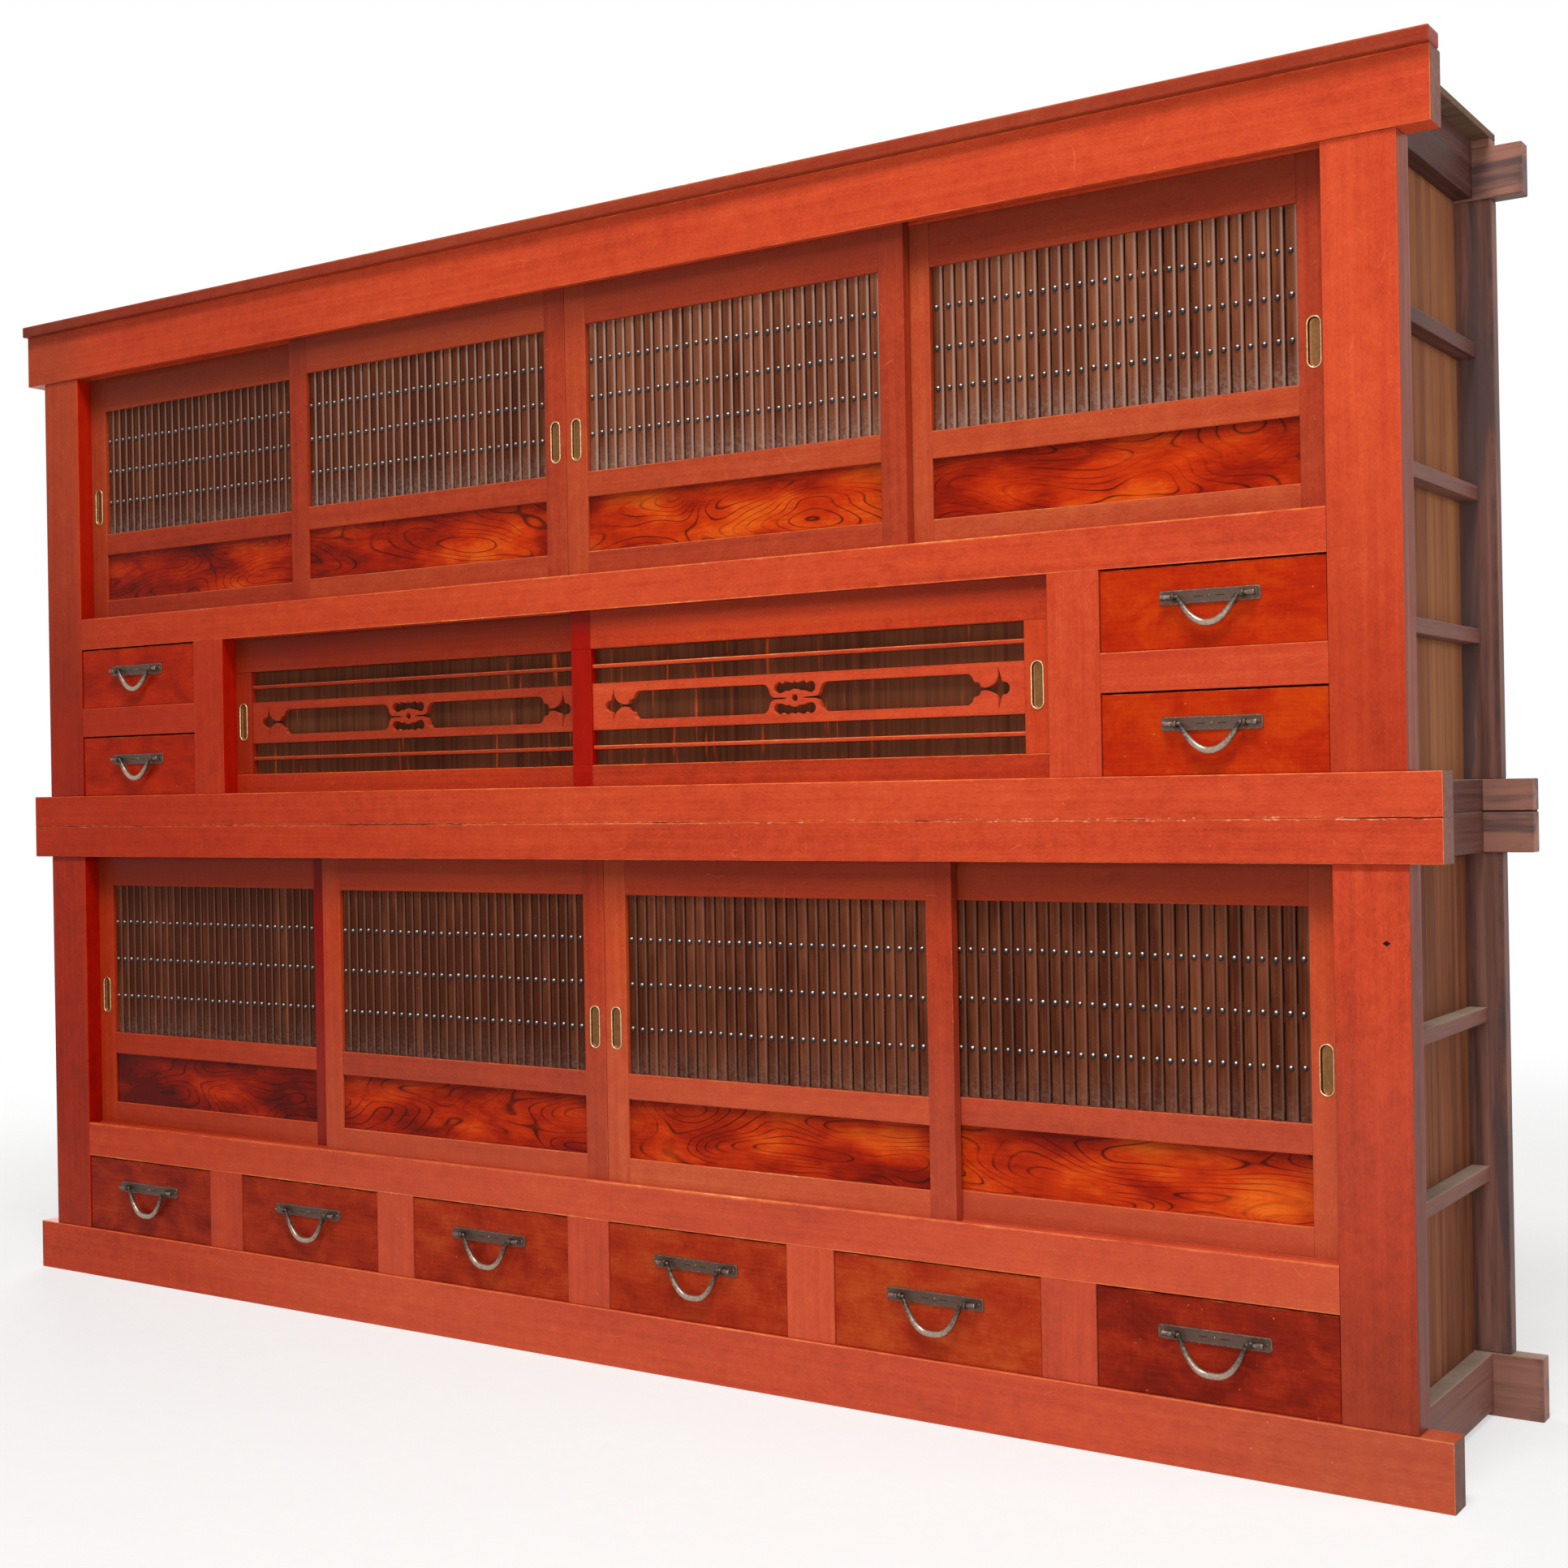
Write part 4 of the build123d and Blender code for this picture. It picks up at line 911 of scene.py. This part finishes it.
def transom_door(side):
    """Two stiles and two rails around bars and a carved board, with a board behind them."""
    label = f"transom_door_{side}"
    low, high = mm_box(f"{label}_frame")
    left, right, bottom, top, back = low[0], high[0], low[2], high[2], high[1]
    face = back - DOOR_THICKNESS
    window = (bottom + DOOR_TRACK + TRANSOM_BOTTOM, top - ROWS["upper"]["head"] - TRANSOM_TOP)
    inner = (left + TRANSOM_STILE, right - TRANSOM_STILE)
    pull_x = right - TRANSOM_STILE / 2 if side == "right" else left + TRANSOM_STILE / 2
    pull_z = bottom + DOOR_TRACK + TRANSOM_PULL
    wood = Piece()
    # the front door's meeting stile is a brighter red from top to bottom
    red_end = inner[0] if side == "right" else left
    # the left door's darker lacquers are painted shade
    finish, carving = ("left_transom", "left_carving") if side == "left" else ("transom_door", "lacquer")
    for z, bare, rail in (((bottom, window[0]), 1.0, "transom_door"), ((window[1], top), 0.2, finish)):
        board(wood, (red_end, right), (face, back), z, rail, "x", *DOOR_EDGE, mx=0.5, pz=bare, mz=0.3)
        if red_end > left:
            board(wood, (left, red_end), (face, back), z, "fresh", "x", *DOOR_EDGE, px=0, pz=bare, mz=0.3)
    for x in ((left, inner[0]), (inner[1], right)):
        with_pull = x[0] < pull_x < x[1]
        board(wood, x, (face + STILE_SET_BACK, back), window, "fresh" if x[1] == red_end else finish,
              "z", *DOOR_EDGE, hole=(pull_x, pull_z, PULL_HALF_X, PULL_HALF_Z) if with_pull else None,
              mx=0.6, px=0.6, mz=0.15, pz=0.15)
    board(wood, inner, (back - BACKING, back - BACKING_SET_BACK), window, "backing", "z")
    carving_y = (face + HIP_DEPTH, face + HIP_DEPTH + CARVING_THICKNESS)
    wood.object(f"{label}_joinery", label, "door_wood", f"{label}_frame")
    finger_pull(label, pull_x, face, pull_z)

    middle = (window[0] + window[1]) / 2
    bars = Piece()
    for z in (window[0] + BAR_INSET, window[1] - BAR_INSET):
        board(bars, inner, carving_y, (z - BAR / 2, z + BAR / 2), carving, "x", 1.2, 3.0, mx=0, px=0, mz=0.5)
    bars.object(f"{label}_bars", label, "red_lacquer_wood", f"{label}_carving")
    carved_board(f"{label}_carved_board", label, inner, carving_y,
                 (middle - CARVING_HEIGHT / 2, middle + CARVING_HEIGHT / 2), "red_lacquer_wood", carving)


for side in ("left", "right"):
    transom_door(side)


# ====================================================================== drawers
DRAWER_FACE = POST_FACE + 2.0
DRAWER_FRONT, DRAWER_WALL, DRAWER_TAIL, WALL_DROP = 18.0, 10.0, 385.0, 4.0
DRAWER_FLOOR = (4.0, 10.0)
EYE_OFFSET, PLATE_THICKNESS, PLATE_HALF_HEIGHT, PLATE_CORNER = 7.6, 2.2, 9.5, 4.5
# the plate's edge as (inset, depth, wear), and an eye as (X, radius)
PLATE_EDGE = ((0.0, 0.0, 0.0), (0.0, -1.3, 0.2), (0.5, -2.0, 0.4), (1.5, -2.2, 0.3), (2.6, -1.9, 0.1),
              (4.5, -1.75, 0.0))
EYE = ((-3.0, 2.6), (-3.0, 4.2), (-2.2, 5.0), (0.0, 5.2), (2.2, 5.0), (3.0, 4.2), (3.0, 2.6))
SLIT_OFFSET, SLIT_HALF_LENGTH, SLIT_HALF_HEIGHT, SLIT_FACE, SLIT_BACK = 15.0, 6.0, 0.6, 2.0, 1.2
RIVET_RADIUS, RIVET_SEAT, RIVET_HEIGHT, RIVET_INSET = 2.6, 1.6, 1.5, 7.0
# length of the plate, eyes from the middle, drop and fullness of the bail's bow
HANDLES = {"side": (141.0, 48.0, 36.0, 2.1), "base": (158.0, 53.0, 48.0, 2.7)}
PIN_RADIUS, BELLY_RADIUS, EYE_WIDTH, EYE_RADIUS = 2.5, 5.0, 6.0, 5.0


def rounded_plate(x, z, half_x, inset):
    """Outline of a handle plate with round corners, as (X, Z) points."""
    outline = []
    radius = max(0.3, PLATE_CORNER - inset)
    for corner, (sx, sz) in enumerate(((1, 1), (-1, 1), (-1, -1), (1, -1))):
        middle = (x + sx * (half_x - inset - radius), z + sz * (PLATE_HALF_HEIGHT - inset - radius))
        outline += arc(middle, radius, 90 * corner, 90 * corner + 90, 4)
    return outline


def drawer(name, kind, tone):
    """The box with its front, the iron plate with its two eyes, and the bail that swings in them."""
    low, high = mm_box(name)
    x, z = (low[0], high[0]), (low[2], high[2])
    face = DRAWER_FACE
    wood = Piece()
    board(wood, x, (face, face + DRAWER_FRONT), z, "base_drawer" if kind == "base" else "drawer",
          "x", 1.4, 4.0, rim_reach=26.0, tone=tone, mx=0.6, px=0.6, mz=0.5, pz=0.9)
    inner = (x[0] + DRAWER_WALL, x[1] - DRAWER_WALL)
    tail = face + DRAWER_TAIL
    walls = (z[0], z[1] - WALL_DROP)
    for wall in ((x[0], inner[0]), (inner[1], x[1])):
        board(wood, wall, (face + DRAWER_FRONT, tail), walls, "raw", "y")
    board(wood, inner, (tail - DRAWER_WALL, tail), walls, "raw")
    board(wood, inner, (face + DRAWER_FRONT, tail - DRAWER_WALL), [z[0] + v for v in DRAWER_FLOOR], "raw")
    wood.object(f"{name}_box", name, "drawer_wood", name)

    plate_length, eyes, drop, bow = HANDLES[kind]
    centre = (x[0] + x[1]) / 2
    level = heights(f"{name}_bail")[0] + drop + BELLY_RADIUS
    plate_face = face - PLATE_THICKNESS
    axis = plate_face - EYE_OFFSET
    iron = Piece()
    relief(iron, lambda inset: rounded_plate(centre, level, plate_length / 2, inset), PLATE_EDGE, face,
           "plate", "x")
    for offset in (-SLIT_OFFSET, SLIT_OFFSET):
        slit = (centre + offset - SLIT_HALF_LENGTH, centre + offset + SLIT_HALF_LENGTH)
        board(iron, slit, (face - SLIT_FACE, face - SLIT_BACK),
              (level - SLIT_HALF_HEIGHT, level + SLIT_HALF_HEIGHT), "iron", edge=0.2, band=0.4, my=0)
    for rivet in (0.0, plate_length / 2 - RIVET_INSET, RIVET_INSET - plate_length / 2):
        rows = []
        for t in (0.0, 0.4, 0.8, 1.2):
            radius = RIVET_RADIUS * math.cos(t)
            y = face - RIVET_SEAT - RIVET_HEIGHT * math.sin(t)
            rows.append([(centre + rivet + radius * math.cos(turn), y, level + radius * math.sin(turn))
                         for turn in turns(10)])
        surface_grid(iron, rows, "iron", caps=(False, True), wear=0.45)
    for side in (-1, 1):
        eye = centre + side * eyes
        board(iron, (eye - EYE_WIDTH / 2 + 0.4, eye + EYE_WIDTH / 2 - 0.4), (axis, face - 1.0),
              (level - EYE_RADIUS + 1, level + EYE_RADIUS - 1), "iron", "y", 1.2, 1.6)
        surface_grid(iron, [ring_x(eye + u, axis, level, r) for u, r in EYE], "iron", wear=0.35)
    iron.object(f"{name}_handle_plate", name, "wrought_iron")

    bail = Piece()
    half = eyes - EYE_WIDTH / 2 - 0.5 - PIN_RADIUS
    rows, wear, count, around = [], [], 36, turns(14)
    for i in range(count + 1):
        t = i / count
        u = math.sin(math.pi * (t - 0.5))
        thick = PIN_RADIUS + (BELLY_RADIUS - PIN_RADIUS) * math.sin(math.pi * t) ** 1.2
        slope = bow * drop / half * math.copysign(abs(u) ** (bow - 1), u)
        out = (slope / math.hypot(slope, 1), -1 / math.hypot(slope, 1))
        base = (centre + half * u, level - drop * (1 - abs(u) ** bow))
        rows.append([(base[0] + thick * math.cos(turn) * out[0], axis + thick * math.sin(turn),
                      base[1] + thick * math.cos(turn) * out[1]) for turn in around])
        # the belly is rubbed bright and also carries a painted highlight
        wear += [0.25 + 0.75 * math.sin(math.pi * t) ** 2] * len(around)
    surface_grid(bail, rows, "iron", "x", caps=(True, True), wear=wear)
    knob = eyes + EYE_WIDTH / 2 + 0.5
    for side in (-1, 1):
        profile = ((half - 1.6, 1.2), (half - 1.0, 2.3), (half + 0.5, 2.6), (half + 2.0, 2.5),
                   (knob, 2.5), (knob + 0.4, 3.1), (knob + 5.0, 3.4), (knob + 12.0, 4.1),
                   (knob + 13.6, 3.8), (knob + 14.0, 2.6))
        rows = [ring_x(centre + side * u, axis, level, r) for u, r in profile]
        surface_grid(bail, rows[::side], "stub", "x", caps=(True, True), wear=0.5)
    bail.object(f"{name}_swing_bail", f"{name}_bail", "wrought_iron", f"{name}_bail")


for side in ("left", "right"):
    for level in ("bottom", "top"):
        drawer(f"side_drawer_{side}_{level}", "side", 0.5 if side == "left" else rng.uniform(0.7, 0.95))
for number, tone in enumerate((0.4, 0.5, 0.62, 0.7, 0.85, 0.2), 1):
    drawer(f"base_drawer_{number}", "base", tone)


# ====================================================================== carcass
BEAM_FACE = POST_FACE - 3.5
BEAM_BACK, POST_BACK, TRACK_BACK = BEAM_FACE + 44.0, POST_FACE + 48.0, POST_FACE + 56.0
BAY_HALF = BODY_HALF - 98.0
BACK = mm_box("upper_rear_frame")[1][1]
REAR_POST, REAR_BEAM = BACK - 27.0, BACK - 30.0
BEAM_HALF = mm_box("upper_header")[1][0]
RAIL_OUTER = BODY_HALF - 25.0
PANEL_OUTER = RAIL_OUTER - 27.0
PANEL_INNER = PANEL_OUTER - 8.0
HEADER_BOTTOM, HEADER_TOP = heights("upper_header")
SILL_BOTTOM, SILL_TOP = heights("upper_sill")
BEAM_BOTTOM, PLINTH_TOP = heights("lower_top_beam")[0], heights("lower_plinth")[1]
RAIL_BOTTOM, RAIL_TOP = heights("upper_middle_rail")
LOWER_RAIL_BOTTOM = heights("lower_middle_rail")[0]
REAR_BELT_TOP = SILL_TOP - 12.0
REAR_TOP = HEADER_TOP - 13.0
BELT_GAP, FILLER_INSET, FILLER_HALF = 1.2, 1.5, 3.0
DRAWER_RAIL = (SILL_TOP + 113, SILL_TOP + 167)
DUST_BOARD, GUIDE = 12.0, 20.0
# side walls: top rail, the panel's run behind the plinth, thin rails and the planks' depths
TOP_RAIL, PLINTH_LAP, THIN_RAIL = 83.0, 80.0, 21.0
UPPER_THIN_RAILS, LOWER_THIN_RAILS = (180, 383, 586), (244, 469)
PLANK_CUTS = (BEAM_BACK, BEAM_BACK + 128, BEAM_BACK + 236, REAR_POST + 5)
TOP_BEAM = 73.0

for unit, bottom, top in (("upper", SILL_TOP, HEADER_BOTTOM), ("lower", PLINTH_TOP, BEAM_BOTTOM)):
    posts = Piece()
    for side in (-1, 1):
        board(posts, span(side, BAY_HALF, BODY_HALF), (POST_FACE, POST_BACK), (bottom, top), "post", "z",
              *POST_EDGE, tone=0.5 if unit == "upper" else 0.0, **UPRIGHT)
    posts.object(f"{unit}_corner_posts", "root", "red_lacquer_wood", f"{unit}_front_posts")

DIVIDER_OUTER, DIVIDER_INNER = 906.0, 828.0
BAY_RAIL_SET_BACK, UPRIGHT_SET_BACK = 0.3, 0.2
parts = Piece()
for side in (-1, 1):
    board(parts, span(side, DIVIDER_INNER, DIVIDER_OUTER), (POST_FACE, TRACK_BACK), (SILL_TOP, RAIL_BOTTOM),
          "frame", "z", *FRAME_EDGE, **UPRIGHT)
    board(parts, span(side, DIVIDER_OUTER, BAY_HALF), (POST_FACE + BAY_RAIL_SET_BACK, TRACK_BACK),
          DRAWER_RAIL, "frame", "x", *FRAME_EDGE, mx=0, px=0, mz=0.4)
    # partition, dust board between the drawers, and a guide for each drawer
    guide = span(side, BAY_HALF, PANEL_INNER)
    for x, z in ((span(side, DIVIDER_OUTER - DUST_BOARD, DIVIDER_OUTER), (SILL_TOP, RAIL_TOP - DUST_BOARD)),
                 (span(side, DIVIDER_OUTER, PANEL_INNER), (DRAWER_RAIL[1] - DUST_BOARD, DRAWER_RAIL[1])),
                 (guide, (SILL_TOP, SILL_TOP + GUIDE)), (guide, (DRAWER_RAIL[1], DRAWER_RAIL[1] + GUIDE))):
        board(parts, x, (TRACK_BACK, REAR_POST), z, "raw", "y")
parts.object("upper_partitions", "root", "stained_wood", "upper_dividers")

BASE_BAYS, BASE_UPRIGHT = 6, 83.0
pitch = (2 * BAY_HALF + BASE_UPRIGHT) / BASE_BAYS
parts = Piece()
for i in range(1, BASE_BAYS):
    x = (-BAY_HALF + i * pitch - BASE_UPRIGHT, -BAY_HALF + i * pitch)
    board(parts, x, (POST_FACE + UPRIGHT_SET_BACK, TRACK_BACK), (PLINTH_TOP, LOWER_RAIL_BOTTOM),
          "lacquer", "z", *FRAME_EDGE, **UPRIGHT)
    board(parts, x, (TRACK_BACK, REAR_POST), (PLINTH_TOP, PLINTH_TOP + GUIDE), "raw", "y")
for side in (-1, 1):
    board(parts, span(side, BAY_HALF, PANEL_INNER), (TRACK_BACK, REAR_POST),
          (PLINTH_TOP, PLINTH_TOP + GUIDE), "raw", "y")
parts.object("base_uprights", "root", "stained_wood", "base_dividers")

# side walls and rear frames
WALL_BOTTOM = PLINTH_TOP - PLINTH_LAP
for unit, bottom, top, rails, thin, tones in (
    ("upper", SILL_BOTTOM, HEADER_TOP, ((HEADER_TOP - TOP_RAIL, HEADER_TOP), (SILL_BOTTOM, REAR_BELT_TOP)),
     [SILL_TOP + z for z in UPPER_THIN_RAILS], (0.65, 1.2)),
    ("lower", WALL_BOTTOM, SILL_BOTTOM, ((BEAM_BOTTOM, SILL_BOTTOM), (WALL_BOTTOM, PLINTH_TOP)),
     [PLINTH_TOP + z for z in LOWER_THIN_RAILS], (0.1, 0.7)),
):
    wall = Piece()
    for side in (-1, 1):
        for plank in zip(PLANK_CUTS, PLANK_CUTS[1:]):
            board(wall, span(side, PANEL_INNER, PANEL_OUTER), plank, (bottom, top), "panel", "z", 0.4, 3.0,
                  tone=rng.uniform(*tones), mx=0.2, px=0.2, mz=0, pz=0)
        runs = [((BEAM_BACK, REAR_BEAM), z) for z in rails]
        runs += [((POST_BACK, REAR_POST), (z, z + THIN_RAIL)) for z in thin]
        for y, z in runs:
            board(wall, span(side, PANEL_OUTER, RAIL_OUTER), y, z, "rail", "y", *RAIL_EDGE, **END_RAIL)
    wall.object(f"{unit}_ends", "root", "stained_wood", f"{unit}_side_walls")

for unit, beams, posts in (
    ("upper", ((REAR_TOP - TOP_BEAM, REAR_TOP, BEAM_HALF), (REAR_TOP, HEADER_TOP, BODY_HALF),
               (SILL_BOTTOM, REAR_BELT_TOP, BEAM_HALF)), (REAR_BELT_TOP, REAR_TOP - TOP_BEAM)),
    ("lower", ((BEAM_BOTTOM, SILL_BOTTOM, BEAM_HALF), (0.0, PLINTH_TOP, BEAM_HALF)),
     (PLINTH_TOP, BEAM_BOTTOM)),
):
    back = Piece()
    for low, high, half in beams:
        # the two beams of the belt have drawn a little apart
        low, high = (low + BELT_GAP, high) if low == SILL_BOTTOM else (low, high)
        high = high - BELT_GAP if high == SILL_BOTTOM else high
        board(back, (-half, half), (REAR_BEAM, BACK), (low, high), "rear", "x", 1.6, 34.0, tone=1.1,
              **REAR_BEAM_WEAR)
    for side in (-1, 1):
        board(back, span(side, BAY_HALF, BODY_HALF), (REAR_POST, BACK), posts, "rear", "z", 1.6, 22.0,
              **REAR_POST_WEAR)
    if unit == "lower":
        # a dark strip in the gap stands in for the shade inside it
        board(back, (FILLER_INSET - BEAM_HALF, BEAM_HALF - FILLER_INSET),
              (REAR_BEAM + FILLER_INSET, BACK - FILLER_INSET),
              (SILL_BOTTOM - FILLER_HALF, SILL_BOTTOM + FILLER_HALF), "backing")
    back.object(f"{unit}_rear_timbers", "root", "stained_wood", f"{unit}_rear_frame")

# one strip along the top of the header
cornice = Piece()
board(cornice, *zip(*mm_box("cornice_strip")), "cornice", "x", 2.0, 6.0, mx=0.7, px=0.7, mz=0.6)
cornice.object("cornice", "root", "red_lacquer_wood", "cornice_strip")


# CAD nodes that keep their shape and get a finish
def finish_node(node, material):
    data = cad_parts[node].data
    data.materials.clear()
    data.materials.append(material)


# how far from an arris the lacquer is rubbed, where it isn't 5 mm
WORN_REACH = {"lower_middle_rail": 9.0, "upper_middle_rail": 6.5}
for node in ("upper_header", "upper_sill", "lower_top_beam", "lower_plinth", "upper_middle_rail",
             "lower_middle_rail"):
    reach = WORN_REACH.get(node, 5.0) * MM
    finish_node(node, lacquer(f"{node}_lacquer", ends=rgb(122, 80, 60),
                              coordinates=lambda s, n=node, r=reach: cad_coordinates(s, n, r),
                              joint=SILL_BOTTOM * MM if node in ("upper_sill", "lower_top_beam") else None))
for node in ("upper_floors", "lower_floors"):
    finish_node(node, plain_wood(f"{node}_wood", rgb(120, 92, 64), rgb(150, 120, 86), rgb(176, 146, 108),
                                 dust=0.25, coordinates=lambda s, n=node: cad_coordinates(s, n, 5.0 * MM)))

# boards of the back and the roof, side by side with a narrow gap
PLANK_GAP = 0.8
for node, wood, count, axis in (("upper_back_boards", "back", 7, 0), ("lower_back_boards", "back", 7, 0),
                                ("roof_boards", "roof", 3, 1)):
    low, high = mm_box(node)
    width = (high[axis] - low[axis]) / count
    planks = Piece()
    for i in range(count):
        spans = list(zip(low, high))
        spans[axis] = (low[axis] + i * width + PLANK_GAP / 2, low[axis] + (i + 1) * width - PLANK_GAP / 2)
        board(planks, *spans, wood, "z" if axis == 0 else "x", *FRAME_EDGE)
    planks.object(node.replace("boards", "planks"), "root", "stained_wood", node)


# ============================================================ floor, light, camera
def floor_material():
    """Pale and matt for the object, white for the camera away from the object's shadow."""
    s = Shader("pale_floor")
    place = s.place()
    colour = s.mix(s.noise(place, 30.0, 4, 0.6), (0.80, 0.80, 0.80, 1), (0.86, 0.86, 0.86, 1))
    diffuse = s.node("BsdfDiffuse", {"Color": colour})
    glow = s.node("Emission", {"Color": (1, 1, 1, 1), "Strength": 1.0})
    away = s.node("VectorMath", {0: place}, operation="LENGTH").outputs["Value"]
    share = s.times(s.step(away, 1.6, 4.5, 0.55, 1.0), s.seen())
    return s.finish(s.node("MixShader", {0: share, 1: diffuse.outputs[0], 2: glow.outputs[0]}))


def studio_world():
    """White for the camera, reflections and glass; a weak warm ambient light for the object."""
    s = Shader("studio_world", bpy.data.worlds)
    ambient = s.node("Background", {0: (1.0, 0.98, 0.96, 1), 1: 0.18})
    white = s.node("Background", {0: (1, 1, 1, 1), 1: 1.0})
    return s.finish(s.node("MixShader", {0: s.seen(), 1: ambient.outputs[0], 2: white.outputs[0]}),
                    "OutputWorld")


bpy.ops.mesh.primitive_plane_add(size=60, location=(0, 0, 0))
floor = bpy.context.object
floor.name = "studio_floor"
floor.data.materials.append(floor_material())
bpy.context.scene.world = studio_world()


def softbox(name, place, target, size, watts, colour=(1, 1, 1)):
    """A rectangular lamp at a place, turned to a target."""
    light = bpy.data.lights.new(name, "AREA")
    light.shape = "RECTANGLE"
    light.size, light.size_y = size
    light.energy = watts
    light.color = colour
    lamp = bpy.data.objects.new(name, light)
    lamp.location = place
    lamp.rotation_euler = (Vector(target) - Vector(place)).to_track_quat("-Z", "Y").to_euler()
    bpy.context.scene.collection.objects.link(lamp)


softbox("key_softbox", (1.6, -2.6, 6.5), (0.3, 0.0, 0.8), (2.4, 1.4), 350, (1.0, 0.98, 0.95))
softbox("fill_softbox", (1.8, -3.5, 1.4), (0.5, 0.0, 0.9), (1.6, 1.2), 38)
softbox("end_softbox", (6.5, 0.6, 2.2), (1.3, 0.0, 1.0), (2.4, 2.0), 95, (1.0, 0.97, 0.94))
softbox("rear_softbox", (-4.6, 3.8, 2.4), (-0.4, 0.3, 0.9), (3.0, 2.2), 180, (1.0, 0.98, 0.96))

# the photograph's camera, solved from the picture's vanishing points and corners
CAMERA_PLACE = (2.1124, -2.8058, 0.9070)
YAW, PITCH, ROLL = (math.radians(v) for v in (33.6896, 0.1172, -0.9915))
FOCAL_PIXELS, PICTURE, SENSOR = 2571.5, 1932.0, 36.0
camera = bpy.data.objects.new("camera", bpy.data.cameras.new("camera"))
bpy.context.scene.collection.objects.link(camera)
camera.data.sensor_width = SENSOR
camera.data.lens = FOCAL_PIXELS / PICTURE * SENSOR
forward = Vector((-math.sin(YAW) * math.cos(PITCH), math.cos(YAW) * math.cos(PITCH), math.sin(PITCH)))
right = forward.cross(Vector((0, 0, 1))).normalized()
up = right.cross(forward)
across = right * math.cos(ROLL) + up * math.sin(ROLL)
upright = up * math.cos(ROLL) - right * math.sin(ROLL)
camera.matrix_world = Matrix.Translation(CAMERA_PLACE) @ Matrix(
    (across, upright, -forward)).transposed().to_4x4()
bpy.context.scene.camera = camera
bpy.context.scene.view_settings.view_transform = "Standard"
